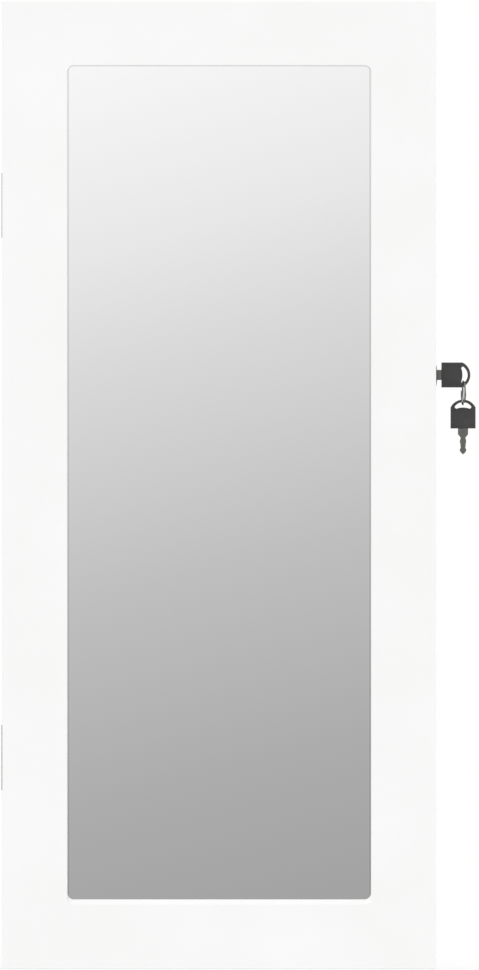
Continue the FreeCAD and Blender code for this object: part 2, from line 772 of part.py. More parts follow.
def leaf_screws(on_door):
    face = DOOR_BACK_Y + LEAF_THICKNESS if on_door else BODY_FRONT_Y - LEAF_THICKNESS
    inward = -Y_AXIS if on_door else Y_AXIS
    return grouped(screw(LEAF_SCREW, place, inward) for place in leaf_screw_places(face))


# ---------------------------------------------------------------- cam lock

PLUG_FACE_X = HALF_WIDTH + COLLAR_THICKNESS
BARREL_END_X = HALF_WIDTH - BARREL_LENGTH
CAM_X = BARREL_END_X - FIT  # the cam's face next to the barrel
KEY_HEAD_X = PLUG_FACE_X + SHOULDER_LENGTH
KEYWAY_END_X = KEY_HEAD_X - BLADE_LENGTH - REACH
KEYWAY_HALF = max(half for _, half in BITTING) + KEYWAY_FIT


def at_lock(x, y, z):
    """A point given along the lock's axis and from it."""
    return vec(x, LOCK_Y + y, LOCK_Z + z)


def turned_about_lock(points):
    """A solid of revolution about the lock's axis, from a closed run of (x, radius) points."""
    profile = Part.makePolygon([at_lock(x, 0, radius) for x, radius in points])
    return Part.Face(profile).revolve(at_lock(0, 0, 0), X_AXIS, 360)


def lock_bore():
    return rod(BARREL_RADIUS + DRILL, at_lock(BARREL_END_X, 0, 0), at_lock(HALF_WIDTH + REACH, 0, 0))


def lock_body():
    """The fixed housing: domed flange, flatted barrel and a stepped bore."""
    rim_x = HALF_WIDTH + FLANGE_RIM
    top_x = HALF_WIDTH + FLANGE_DOME
    mouth = COLLAR_RADIUS + PLUG_RUNNING
    crown = mouth + FLANGE_LAND
    bore = PLUG_RADIUS + PLUG_RUNNING
    step_x = HALF_WIDTH - PLUG_RUNNING
    shoulder_radius, shoulder_height = FLANGE_SHOULDER
    body = turned_about_lock([
        (rim_x, FLANGE_RADIUS), (HALF_WIDTH + shoulder_height, shoulder_radius), (top_x, crown),
        (top_x, mouth), (step_x, mouth), (step_x, bore), (BARREL_END_X, bore),
        (BARREL_END_X, BARREL_RADIUS), (HALF_WIDTH, BARREL_RADIUS), (HALF_WIDTH, FLANGE_RADIUS),
        (rim_x, FLANGE_RADIUS),
    ])
    flats = [
        block(
            BARREL_END_X - REACH, HALF_WIDTH - REACH,
            LOCK_Y - FLANGE_RADIUS, LOCK_Y + FLANGE_RADIUS,
            LOCK_Z + level * BARREL_FLAT, LOCK_Z + level * FLANGE_RADIUS,
        )
        for level in (-1, 1)
    ]
    return body.cut(flats)


def lock_nut():
    """A thin hexagon nut against the lining, a flat side down."""
    corner = LOCK_NUT_ACROSS / 2 / math.cos(math.pi / 6)
    points = [
        at_lock(LINED_X, corner * math.cos(n * math.pi / 3), corner * math.sin(n * math.pi / 3))
        for n in range(6)
    ]
    nut = solid_of(points, vec(-LOCK_NUT_THICKNESS, 0, 0))
    return nut.cut(lock_bore())


def lock_plug():
    """The plug that the key turns, with its keyway, tang and screw hole."""
    tang_end = CAM_X - CAM_THICKNESS + FIT
    plug = turned_about_lock([
        (PLUG_FACE_X, 0), (PLUG_FACE_X, COLLAR_RADIUS), (HALF_WIDTH, COLLAR_RADIUS),
        (HALF_WIDTH, PLUG_RADIUS), (CAM_X, PLUG_RADIUS), (CAM_X, 0), (PLUG_FACE_X, 0),
    ])
    half = TANG_SIDE / 2
    tang = block(tang_end, CAM_X + REACH, LOCK_Y - half, LOCK_Y + half, LOCK_Z - half, LOCK_Z + half)
    plug = plug.fuse(tang)
    slot = KEY_THICKNESS / 2 + KEYWAY_FIT
    keyway = block(
        KEYWAY_END_X, PLUG_FACE_X + REACH, LOCK_Y - slot, LOCK_Y + slot,
        LOCK_Z - KEYWAY_HALF, LOCK_Z + KEYWAY_HALF,
    )
    mouth_half = SHOULDER_WIDTH / 2 + KEYWAY_FIT
    throat_x = KEY_HEAD_X - BITTING[0][0] - KEYWAY_FIT
    mouth = solid_of(
        [
            at_lock(PLUG_FACE_X + REACH, -slot, -mouth_half), at_lock(PLUG_FACE_X, -slot, -mouth_half),
            at_lock(throat_x, -slot, -BITTING[0][1]), at_lock(throat_x, -slot, BITTING[0][1]),
            at_lock(PLUG_FACE_X, -slot, mouth_half), at_lock(PLUG_FACE_X + REACH, -slot, mouth_half),
        ],
        vec(0, 2 * slot, 0),
    )
    return plug.cut([keyway, mouth, cam_screw_shank(DRILL)])


def cam_screw_shank(grow):
    """The shank under the head, which starts inside the head."""
    head_x = CAM_X - CAM_THICKNESS
    start = at_lock(head_x - CAM_SCREW_HEAD_HEIGHT / 2, 0, 0)
    return rod(CAM_SCREW_SHANK + grow, start, at_lock(head_x + CAM_SCREW_LENGTH + grow, 0, 0))


def cam_screw():
    """A pan-headed screw that holds the cam on the plug."""
    head_x = CAM_X - CAM_THICKNESS
    head = rod(CAM_SCREW_HEAD, at_lock(head_x, 0, 0), at_lock(head_x - CAM_SCREW_HEAD_HEIGHT, 0, 0))
    return head.fuse(cam_screw_shank(0.0))


def lock_cam():
    """A tapered arm on the plug's tang. It points at the door while the lock is open."""
    far = CAM_REACH - CAM_TIP_RADIUS
    lean = math.asin((CAM_HUB_RADIUS - CAM_TIP_RADIUS) / far)
    x = CAM_X

    def rim(centre_y, radius, level):
        return at_lock(x, centre_y - radius * math.sin(lean), level * radius * math.cos(lean))

    outline = Part.Wire([
        Part.Arc(
            rim(0, CAM_HUB_RADIUS, 1), at_lock(x, CAM_HUB_RADIUS, 0), rim(0, CAM_HUB_RADIUS, -1)
        ).toShape(),
        Part.makeLine(rim(0, CAM_HUB_RADIUS, -1), rim(-far, CAM_TIP_RADIUS, -1)),
        Part.Arc(
            rim(-far, CAM_TIP_RADIUS, -1), at_lock(x, -CAM_REACH, 0), rim(-far, CAM_TIP_RADIUS, 1)
        ).toShape(),
        Part.makeLine(rim(-far, CAM_TIP_RADIUS, 1), rim(0, CAM_HUB_RADIUS, 1)),
    ])
    arm = Part.Face(outline).extrude(vec(-CAM_THICKNESS, 0, 0))
    half = TANG_SIDE / 2 + DRILL
    square = block(
        x - CAM_THICKNESS - REACH, x + REACH, LOCK_Y - half, LOCK_Y + half, LOCK_Z - half, LOCK_Z + half
    )
    return arm.cut(square)


# ---------------------------------------------------------------- strike

STRIKE_X = CAM_X - CAM_THICKNESS - STRIKE_CAM_GAP  # the leg's face next to the cam
STRIKE_LIP_Y = LOCK_Y + CAM_HUB_RADIUS + STRIKE_LIP_GAP
STRIKE_MIDDLE_Z = LOCK_Z - STRIKE_TOP_BELOW_LOCK - STRIKE_LIP_HEIGHT / 2


def strike_screw_places():
    x = STRIKE_X + STRIKE_BASE_WIDTH / 2
    y = DOOR_BACK_Y + STRIKE_THICKNESS
    reach = STRIKE_BASE_HEIGHT / 2 - FITTING_SCREW[0] - REACH
    return [vec(x, y, STRIKE_MIDDLE_Z + level * reach) for level in (-1, 1)]


def lock_strike():
    """A bent plate: a base on the door, a leg into the carcass, a lip behind the cam."""
    x0 = STRIKE_X - STRIKE_THICKNESS
    half = STRIKE_LIP_HEIGHT / 2
    low, high = STRIKE_MIDDLE_Z - half, STRIKE_MIDDLE_Z + half
    base_half = STRIKE_BASE_HEIGHT / 2
    lip_end = STRIKE_LIP_Y + STRIKE_THICKNESS
    base = block(
        x0, STRIKE_X + STRIKE_BASE_WIDTH - STRIKE_THICKNESS, DOOR_BACK_Y, DOOR_BACK_Y + STRIKE_THICKNESS,
        STRIKE_MIDDLE_Z - base_half, STRIKE_MIDDLE_Z + base_half,
    )
    leg = block(x0, STRIKE_X, DOOR_BACK_Y, lip_end, low, high)
    lip = block(x0, x0 + STRIKE_LIP_LENGTH, STRIKE_LIP_Y, lip_end, low, high)
    strike = base.fuse([leg, lip]).removeSplitter()
    strike = round_edges(strike, STRIKE_THICKNESS, x=x0, y=lip_end)
    return strike.cut([screw_hole(FITTING_SCREW, place, -Y_AXIS) for place in strike_screw_places()])


def door_fitting_screws():
    places = strike_screw_places() + [keeper_place()]
    return grouped(screw(FITTING_SCREW, place, -Y_AXIS) for place in places)


# ---------------------------------------------------------------- keys and ring
# A key is made with its blade along -Z from the origin, its head above, flat in XZ.


def head_outline():
    half = KEY_HEAD_WIDTH / 2
    return Part.Wire([
        Part.makeLine(vec(-half, 0, 0), vec(half, 0, 0)),
        Part.makeLine(vec(half, 0, 0), vec(half, 0, KEY_HEAD_STRAIGHT)),
        Part.Arc(
            vec(half, 0, KEY_HEAD_STRAIGHT), vec(0, 0, KEY_HEAD_LENGTH), vec(-half, 0, KEY_HEAD_STRAIGHT)
        ).toShape(),
        Part.makeLine(vec(-half, 0, KEY_HEAD_STRAIGHT), vec(-half, 0, 0)),
    ])


def finger_hole():
    """A crescent with a humped floor, cut right through the head."""
    y = -KEY_HEAD_THICKNESS
    side_z = (HOLE_ENDS + HOLE_FLOOR) / 2 - HOLE_CORNER_INSET
    side_x = HOLE_HALF_WIDTH - HOLE_CORNER_INSET

    def corner(level):
        return Part.Arc(
            vec(level * HOLE_HALF_WIDTH, y, HOLE_ENDS),
            vec(level * side_x, y, side_z),
            vec(level * HOLE_LOBE, y, HOLE_FLOOR),
        ).toShape()

    crown = Part.Arc(
        vec(-HOLE_HALF_WIDTH, y, HOLE_ENDS), vec(0, y, HOLE_CROWN), vec(HOLE_HALF_WIDTH, y, HOLE_ENDS)
    ).toShape()
    hump = Part.Arc(
        vec(-HOLE_LOBE, y, HOLE_FLOOR), vec(0, y, HOLE_HUMP), vec(HOLE_LOBE, y, HOLE_FLOOR)
    ).toShape()
    outline = Part.Wire(Part.__sortEdges__([crown, corner(1), hump, corner(-1)]))
    return Part.Face(outline).extrude(vec(0, 2 * KEY_HEAD_THICKNESS, 0))


def key_head():
    """The moulded grip: bevelled edges, a sunk panel each side and the finger hole."""
    half = KEY_HEAD_THICKNESS / 2
    grip = Part.Face(head_outline()).extrude(vec(0, KEY_HEAD_THICKNESS, 0))
    grip.translate(vec(0, -half, 0))

    outer = [edge for edge in grip.Edges if abs(abs(edge.CenterOfMass.y) - half) < NEAR]
    grip = grip.makeChamfer(KEY_HEAD_BEVEL, outer)
    panel_half = KEY_HEAD_WIDTH / 2 - KEY_HEAD_RIM
    panel_top = HOLE_FLOOR - KEY_HEAD_RIM / 2
    panels = [
        block(
            -panel_half, panel_half, side * half, side * (half - KEY_PANEL_SINK), KEY_HEAD_RIM, panel_top
        )
        for side in (-1, 1)
    ]
    return grip.cut(panels + [finger_hole(), key_tang()])


def key_tang():
    half_width = SHOULDER_WIDTH / 2
    half = KEY_THICKNESS / 2
    return block(-half_width, half_width, -half, half, 0, KEY_TANG_LENGTH)


def key_blade():
    """A double-sided flat blade: tang, shoulder, bitting and a groove each side."""
    stations = [(-KEY_TANG_LENGTH, SHOULDER_WIDTH / 2), (SHOULDER_LENGTH, SHOULDER_WIDTH / 2)]
    stations += list(BITTING)
    half = KEY_THICKNESS / 2
    right = [vec(width, -half, -down) for down, width in stations]
    left = [vec(-width, -half, -down) for down, width in reversed(stations)]
    blade = solid_of(right + [vec(0, -half, -BLADE_LENGTH)] + left, vec(0, KEY_THICKNESS, 0))
    groove_half = KEY_GROOVE_WIDTH / 2
    grooves = [
        block(
            -groove_half, groove_half, side * half, side * (half - KEY_GROOVE_DEPTH),
            -SHOULDER_LENGTH / 2, -BLADE_LENGTH - REACH,
        )
        for side in (-1, 1)
    ]
    return blade.cut(grooves)


# The ring's top wire passes through the lower end of the first key's finger hole.
RING_X = KEY_HEAD_X + RING_STATION
RING_TOP_Z = LOCK_Z - HOLE_HALF_WIDTH + RING_SEAT
RING_MIDDLE_Z = RING_TOP_Z - RING_RADIUS
SPARE_HEAD_Z = RING_MIDDLE_Z - RING_RADIUS + RING_CROWN_SEAT - HOLE_CROWN


def in_lock(shape):
    """The first key: blade into the lock, head flat in the plane that a viewer faces."""
    moved = shape.copy()
    moved.Placement = FreeCAD.Placement(at_lock(KEY_HEAD_X, 0, 0), FreeCAD.Rotation(Y_AXIS, 90))
    return moved


def on_ring(shape):
    """The spare key, hanging from the bottom of the ring."""
    moved = shape.copy()
    moved.Placement = FreeCAD.Placement(vec(RING_X, LOCK_Y, SPARE_HEAD_Z), FreeCAD.Rotation())
    return moved


def ring_arc(level, angle):
    """Wire from the top (level 1) or foot (-1) of the ring, bent about X by an angle."""
    overrun = math.copysign(RING_LEAN, angle)
    section = wire_section(RING_WIRE_RADIUS, vec(0, 0, level * RING_RADIUS), Y_AXIS)
    section.rotate(vec(0, 0, 0), X_AXIS, -overrun)
    return section.revolve(vec(0, 0, 0), X_AXIS, angle + overrun)


def key_ring():
    """A wire ring: a flat rear half, and two ends that lean apart and pass at the front."""
    size = 2 * RING_RADIUS
    pieces = []
    for level, sweep in ((1, RING_UPPER_SWEEP), (-1, RING_LOWER_SWEEP)):
        rear = ring_arc(level, -level * 90)
        front = ring_arc(level, level * sweep)
        front.rotate(vec(0, 0, 0), Z_AXIS, level * RING_LEAN)
        # the two meet in the plane that halves the angle between them
        behind = block(-size, size, 0, size, -size, size)
        behind.rotate(vec(0, 0, 0), Z_AXIS, level * RING_LEAN / 2)
        half = block(-size, size, -size, size, 0, level * size)
        pieces.append(rear.common(behind).common(half))
        pieces.append(front.cut(behind))
    ring = pieces[0].fuse(pieces[1:])
    ring.translate(vec(RING_X, LOCK_Y, RING_MIDDLE_Z))
    return ring


# ---------------------------------------------------------------- door


def mirror_opening():
    """The opening with its rounded corners, and the bevelled sill along its foot."""
    hole = rounded_window(
        OPENING_X, -OPENING_Z + SILL_HEIGHT, OPENING_Z, OPENING_CORNER,
        FRONT_Y - REACH, MIRROR_FACE_Y + REACH,
    )
    foot = -OPENING_Z + SILL_HEIGHT
    run = OPENING_X - OPENING_CORNER
    sill = solid_of(
        [
            vec(-run, MIRROR_FACE_Y, foot), vec(-run, FRONT_Y, foot - SILL_HEIGHT),
            vec(-run, FRONT_Y - REACH, foot - SILL_HEIGHT),
            vec(-run, FRONT_Y - REACH, foot + OPENING_CORNER),
            vec(-run, MIRROR_FACE_Y, foot + OPENING_CORNER),
        ],
        vec(2 * run, 0, 0),
    )
    return [hole, sill] + sill_ends(foot)


def sill_ends(foot):
    """Cones that carry the sill's bevel round the two lower corners."""
    ends = []
    for side in (-1, 1):
        centre = vec(side * (OPENING_X - OPENING_CORNER), MIRROR_FACE_Y, foot + OPENING_CORNER)
        cone = Part.makeCone(
            OPENING_CORNER, OPENING_CORNER + SILL_HEIGHT, MIRROR_RECESS, centre, -Y_AXIS
        )
        keep = block(
            centre.x, side * OPENING_X, FRONT_Y - REACH, MIRROR_FACE_Y, foot - SILL_HEIGHT, centre.z
        )
        ends.append(cone.common(keep))
    return ends


def mirror_rebate():
    x = OPENING_X + MIRROR_OVERLAP
    z = OPENING_Z + MIRROR_OVERLAP
    return rounded_window(x, -z, z, REBATE_CORNER, MIRROR_FACE_Y, DOOR_BACK_Y + REACH)


def in_mirror_rebate(y0, y1):
    """A sheet that lies in the mirror's rebate."""
    x = OPENING_X + MIRROR_OVERLAP - FIT
    z = OPENING_Z + MIRROR_OVERLAP - FIT
    return rounded_window(x, -z, z, REBATE_CORNER, y0, y1)


def lining_outline(grow, y0, y1):
    x = OPENING_X + MIRROR_OVERLAP + DOOR_LINING_OVERLAP + grow
    z = OPENING_Z + MIRROR_OVERLAP + DOOR_LINING_OVERLAP + grow
    return rounded_window(x, -z, z, REBATE_CORNER, y0, y1)


def bumper_places():
    x = HALF_WIDTH - BUMPER_INSET
    return [vec(x, DOOR_BACK_Y, level * (HALF_HEIGHT - BUMPER_INSET)) for level in (-1, 1)]


def soften_opening(frame):
    """Rounds the front edge of the mirror opening, all the way round."""

    def on_rim(vertex):
        inside = abs(vertex.X) < OPENING_X + NEAR and abs(vertex.Z) < OPENING_Z + NEAR
        return inside and abs(vertex.Y - FRONT_Y) < NEAR

    rim = [edge for edge in frame.Edges if all(on_rim(vertex) for vertex in edge.Vertexes)]
    return frame.makeFillet(OPENING_ROUND, rim)


def door_frame():
    """One board, routed for the mirror, with its outer edges softened."""
    frame = block(-HALF_WIDTH, HALF_WIDTH, FRONT_Y, DOOR_BACK_Y, -HALF_HEIGHT, HALF_HEIGHT)
    for y in (FRONT_Y, DOOR_BACK_Y):
        for side in (-1, 1):
            frame = round_edges(frame, EDGE_ROUND, x=side * HALF_WIDTH, y=y)
    for level in (-1, 1):
        frame = round_edges(frame, EDGE_ROUND, y=FRONT_Y, z=level * HALF_HEIGHT)
    frame = soften_opening(frame.cut(mirror_opening()))
    cutters = [mirror_rebate(), lining_outline(FIT, DOOR_LINING_Y, DOOR_BACK_Y + REACH)]
    cutters += hinge_notches()
    cutters += [screw_hole(LEAF_SCREW, place, -Y_AXIS)
                for place in leaf_screw_places(DOOR_BACK_Y + LEAF_THICKNESS)]
    cutters += [screw_hole(FITTING_SCREW, place, -Y_AXIS)
                for place in strike_screw_places() + [keeper_place()]]
    return cut_all(frame, cutters)


def slit_places():
    top = OPENING_Z - SLIT_TOP_DROP
    first = -(SLIT_COLUMNS - 1) * SLIT_PITCH_X / 2
    return [
        (first + column * SLIT_PITCH_X, top - row * SLIT_PITCH_Z)
        for row in range(SLIT_ROWS)
        for column in range(SLIT_COLUMNS)
    ]


def bar_levels():
    last_slit = OPENING_Z - SLIT_TOP_DROP - (SLIT_ROWS - 1) * SLIT_PITCH_Z
    return [last_slit - BAR_DROP - n * BAR_PITCH for n in range(BAR_COUNT)]


def bar_tongue(level, grow):
    half = BAR_LENGTH / 2 - BAR_NOTCH_DEPTH + grow
    z = level - BAR_THICKNESS - grow
    return block(-half, half, DOOR_BACK_Y - BAR_TONGUE - grow, DOOR_BACK_Y + grow, z, level + grow)


def door_lining():
    """The lined panel inside the door, slit for stud earrings and slotted for the bars."""
    sheet = lining_outline(0.0, DOOR_LINING_Y, DOOR_BACK_Y)
    cutters = [
        block(
            x - SLIT_WIDTH / 2, x + SLIT_WIDTH / 2, DOOR_LINING_Y - REACH, DOOR_BACK_Y + REACH,
            z - SLIT_LENGTH / 2, z + SLIT_LENGTH / 2,
        )
        for x, z in slit_places()
    ]
    cutters += [bar_tongue(level, DRILL) for level in bar_levels()]
    return sheet.cut(cutters)


def earring_foam():
    sheet = in_mirror_rebate(FOAM_Y, DOOR_LINING_Y)
    return sheet.cut([bar_tongue(level, DRILL) for level in bar_levels()])


def earring_bar(level):
    """A flat notched bar that stands out of the lining on a tongue."""
    half = BAR_LENGTH / 2
    edge = DOOR_BACK_Y + BAR_REACH
    bar = block(-half, half, DOOR_BACK_Y, edge, level - BAR_THICKNESS, level)
    for side in (-1, 1):
        bar = round_edges(bar, BAR_THICKNESS, x=side * half, y=edge)
    pitch = BAR_LENGTH / (BAR_NOTCHES + 1)
    notches = [
        block(
            n * pitch - half - BAR_NOTCH_WIDTH / 2, n * pitch - half + BAR_NOTCH_WIDTH / 2,
            edge - BAR_NOTCH_DEPTH, edge + REACH, level - BAR_THICKNESS - REACH, level + REACH,
        )
        for n in range(1, BAR_NOTCHES + 1)
    ]
    return bar.cut(notches).fuse(bar_tongue(level, 0.0)).removeSplitter()


def bumpers():
    reach = Y_AXIS * BUMPER_THICKNESS
    return grouped(rod(BUMPER_RADIUS, place, place + reach) for place in bumper_places())


# ---------------------------------------------------------------- all nodes


def all_nodes():
    nodes = {
        "side_panel_left": side_panel(-1),
        "side_panel_right": side_panel(1),
        "top_panel": deck_panel(1),
        "bottom_panel": deck_panel(-1),
        "back_panel": back_panel(),
        "carcass_dowels": dowels(),
        "hanger_plates": hanger_plates(),
        "hanger_screws": hanger_screws(),
        "back_lining": back_lining(),
        "side_lining_left": side_lining(-1),
        "side_lining_right": side_lining(1),
        "deck_linings": deck_linings(),
        "hook_rail": hook_rail(),
        "necklace_hooks": necklace_hooks(),
        "upper_shelf": shelf(UPPER_SHELF_TOP),
        "lower_shelf": shelf(LOWER_SHELF_TOP),
        "shelf_pins": shelf_pins(),
        "guard_rails": guard_rails(),
        "ring_tray": ring_tray(),
        "bracelet_rod": bracelet_rod(),
        "rod_cups": rod_cups(),
        "catch_body": catch_body(),
        "catch_magnet": magnet_block(0.0),
        "catch_screws": catch_screws(),
        "keeper_plate": keeper_plate(),
        "hinge_pins": hinge_pins(),
        "hinge_body_screws": leaf_screws(False),
        "hinge_door_screws": leaf_screws(True),
        "lock_body": lock_body(),
        "lock_nut": lock_nut(),
        "lock_plug": lock_plug(),
        "lock_cam": lock_cam(),
        "cam_screw": cam_screw(),
        "lock_strike": lock_strike(),
        "door_fitting_screws": door_fitting_screws(),
        "key_one_head": in_lock(key_head()),
        "key_one_blade": in_lock(key_blade()),
        "key_ring": key_ring(),
        "key_two_head": on_ring(key_head()),
        "key_two_blade": on_ring(key_blade()),
        "door_frame": door_frame(),
        "mirror_glass": in_mirror_rebate(MIRROR_FACE_Y, BACKING_Y),
        "mirror_backing": in_mirror_rebate(BACKING_Y, FOAM_Y),
        "earring_foam": earring_foam(),
        "door_lining": door_lining(),
        "door_bumpers": bumpers(),
    }
    for place, centre in hinge_centres().items():
        nodes[f"hinge_{place}_body_leaf"] = leaf(centre, False)
        nodes[f"hinge_{place}_door_leaf"] = leaf(centre, True)
    for number in range(1, ROLL_COUNT + 1):
        nodes[f"ring_roll_{number}"] = ring_roll(number)
    for number, level in enumerate(bar_levels(), 1):
        nodes[f"earring_bar_{number}"] = earring_bar(level)
    return nodes


def main():
    os.makedirs("parts", exist_ok=True)
    for name, shape in sorted(all_nodes().items()):
        shape.exportStep(f"parts/{name}.step")
        print(f"{name}: {len(shape.Solids)} solid, {shape.Volume:.1f} mm3, valid {shape.isValid()}")


main()
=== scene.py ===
"""Dresses a lockable jewelry cabinet, a shallow white box behind a framed mirror door, for a studio.

Metres, in the construction's own frame: X to the viewer's right, Y from the room into the wall, Z up.
The construction's pieces keep their shape and place. What is made here is the finish of every surface,
the padded rolls for rings, the foam behind the slits for ear studs, and the cross-head screws.
"""

from __future__ import annotations

import logging
import math
from dataclasses import dataclass, field
from enum import Enum
from typing import Any

import bmesh
import bpy
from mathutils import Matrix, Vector


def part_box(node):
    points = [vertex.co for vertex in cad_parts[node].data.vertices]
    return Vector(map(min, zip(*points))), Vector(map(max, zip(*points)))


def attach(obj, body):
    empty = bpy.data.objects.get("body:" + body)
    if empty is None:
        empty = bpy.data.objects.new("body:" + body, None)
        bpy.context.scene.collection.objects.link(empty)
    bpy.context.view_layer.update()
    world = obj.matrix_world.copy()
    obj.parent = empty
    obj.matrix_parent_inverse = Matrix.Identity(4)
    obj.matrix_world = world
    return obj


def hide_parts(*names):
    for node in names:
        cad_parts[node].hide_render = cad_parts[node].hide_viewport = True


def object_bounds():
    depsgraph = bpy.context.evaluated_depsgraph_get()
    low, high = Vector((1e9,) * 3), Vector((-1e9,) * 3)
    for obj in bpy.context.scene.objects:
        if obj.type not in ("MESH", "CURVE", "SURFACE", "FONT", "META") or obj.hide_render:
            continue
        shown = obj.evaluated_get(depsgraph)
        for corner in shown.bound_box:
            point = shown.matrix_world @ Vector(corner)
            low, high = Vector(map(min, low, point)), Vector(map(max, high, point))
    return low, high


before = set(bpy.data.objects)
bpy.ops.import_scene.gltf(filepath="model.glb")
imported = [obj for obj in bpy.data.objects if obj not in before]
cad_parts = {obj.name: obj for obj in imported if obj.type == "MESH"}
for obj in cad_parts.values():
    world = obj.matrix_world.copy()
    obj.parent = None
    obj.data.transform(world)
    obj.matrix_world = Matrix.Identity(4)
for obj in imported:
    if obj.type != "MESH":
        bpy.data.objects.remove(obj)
CAD_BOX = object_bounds()

log = logging.getLogger("cabinet")

MM = 0.001  # metres in a millimetre
WHITE = (1.0, 1.0, 1.0, 1.0)

Tree = bpy.types.NodeTree
Node = bpy.types.Node
Socket = bpy.types.NodeSocket
Feeds = dict[Any, Any]


# ---- small helpers


def linear(colour: str) -> tuple[float, float, float, float]:
    """Turns an sRGB hex colour to the linear values that a shader takes.

    Args:
        colour: Six hex digits.

    Returns:
        Red, green, blue and full alpha.
    """
    parts = [int(colour[at:at + 2], 16) / 255 for at in (0, 2, 4)]
    curved = [p / 12.92 if p <= 0.04045 else ((p + 0.055) / 1.055) ** 2.4 for p in parts]
    return (*curved, 1.0)


def per(size_mm: float) -> float:
    """Gives the scale of a pattern whose grains, cells or waves are that many millimetres across."""
    return 1 / (size_mm * MM)


def add(tree: Tree, kind: str, feeds: Feeds | None = None, **settings: Any) -> Node:
    """Adds a node, with its settings, and feeds its inputs.

    Args:
        tree: The tree that the node goes into.
        kind: The node's type.
        feeds: For each input's name or number, a value or the output that is linked to it.
        settings: The node's own properties.

    Returns:
        The new node.
    """
    node = tree.nodes.new(kind)
    for name, value in settings.items():
        setattr(node, name, value)
    for key, value in (feeds or {}).items():
        if isinstance(value, Socket):
            tree.links.new(value, node.inputs[key])
        else:
            node.inputs[key].default_value = value
    return node


def reckon(tree: Tree, operation: str, first: float | Socket, second: float | Socket) -> Socket:
    """Works out a number from two others.

    Args:
        tree: The tree that the node goes into.
        operation: What is done with them, as a math node calls it.
        first: A number, or the output that gives it.
        second: The same for the other one.

    Returns:
        The result.
    """
    return add(tree, "ShaderNodeMath", {0: first, 1: second}, operation=operation).outputs[0]


def piece_of(name: str, mesh: bpy.types.Mesh) -> bpy.types.Object:
    """Puts a mesh in the scene as a piece at the origin.

    Args:
        name: What the piece is called.
        mesh: Its mesh, with its place in it.

    Returns:
        The new object.
    """
    piece = bpy.data.objects.new(name, mesh)
    bpy.context.scene.collection.objects.link(piece)
    return piece


def worked_out(piece: bpy.types.Object) -> bpy.types.Object:
    """Turns a piece's modifiers into its plain mesh.

    Args:
        piece: An object with live modifiers.

    Returns:
        The same object, with the evaluated mesh and no modifiers.
    """
    graph = bpy.context.evaluated_depsgraph_get()
    made = bpy.data.meshes.new_from_object(piece.evaluated_get(graph), depsgraph=graph)
    piece.modifiers.clear()
    piece.data = made
    return piece


def growing_tree(name: str, sizes: dict[str, str]) -> tuple[Tree, Any]:
    """Starts a tree that grows geometry on a piece.

    Args:
        name: What the tree is called.
        sizes: Each size that it takes, and that input's type.

    Returns:
        The tree, and what it is given: the piece's geometry, the sizes and the material.
    """
    tree = bpy.data.node_groups.new(name, "GeometryNodeTree")
    for label, kind in {"Geometry": "Geometry", **sizes, "Material": "Material"}.items():
        tree.interface.new_socket(label, in_out="INPUT", socket_type="NodeSocket" + kind)
    tree.interface.new_socket("Geometry", in_out="OUTPUT", socket_type="NodeSocketGeometry")
    return tree, add(tree, "NodeGroupInput").outputs


def grow(piece: bpy.types.Object, tree: Tree, values: Feeds) -> None:
    """Grows a tree's geometry on a piece and turns the result into its plain mesh.

    Args:
        piece: The object that the tree starts from.
        tree: What grows on it.
        values: A value for each size, by its name, and the material.
    """
    maker = piece.modifiers.new("grown", "NODES")
    maker.node_group = tree
    for item in tree.interface.items_tree:
        if item.in_out == "INPUT" and item.name in values:
            maker[item.identifier] = values[item.name]
    worked_out(piece)


# ---- finishes


@dataclass(frozen=True)
class Surface:
    """A material while it is drawn: its tree, its shader, and where each point of the piece lies."""

    tree: Tree
    shader: Node
    place: Socket

    def takes(self, values: Feeds) -> None:
        """Sets the shader's own sockets."""
        for name, value in values.items():
            self.shader.inputs[name].default_value = value

    def noise(self, size_mm: float, detail: float, **feeds: Any) -> Socket:
        """Adds a cloudy pattern that lies on the piece.

        Args:
            size_mm: How far across its clouds are.
            detail: How many finer layers it has.
            feeds: What else its node takes, by the input's name.

        Returns:
            The pattern, from 0 to 1.
        """
        takes = {"Vector": self.place, "Scale": per(size_mm), "Detail": detail, **feeds}
        return add(self.tree, "ShaderNodeTexNoise", takes).outputs["Fac"]

    def relief(self, height: Socket, depth_mm: float, strength: float = 1.0) -> None:
        """Lets a pattern stand out of the surface.

        Args:
            height: The pattern, from 0 to 1.
            depth_mm: How far it stands out.
            strength: How much of it the shading takes.
        """
        bump = add(self.tree, "ShaderNodeBump",
                   {"Height": height, "Distance": depth_mm * MM, "Strength": strength})
        self.tree.links.new(bump.outputs["Normal"], self.shader.inputs["Normal"])

    def shaded(self, pattern: Socket, own: str, other: str, low: float = 0.35, high: float = 0.65) -> None:
        """Lets the colour drift to another one along a pattern.

        Args:
            pattern: The pattern, from 0 to 1.
            own: The finish's own colour.
            other: The second colour.
            low: The pattern's value where the finish's own colour ends.
            high: The pattern's value where the second colour is full.
        """
        ramp = add(self.tree, "ShaderNodeValToRGB", {"Fac": pattern})
        first, last = ramp.color_ramp.elements
        first.position, first.color = low, linear(own)
        last.position, last.color = high, linear(other)
        self.tree.links.new(ramp.outputs["Color"], self.shader.inputs["Base Color"])


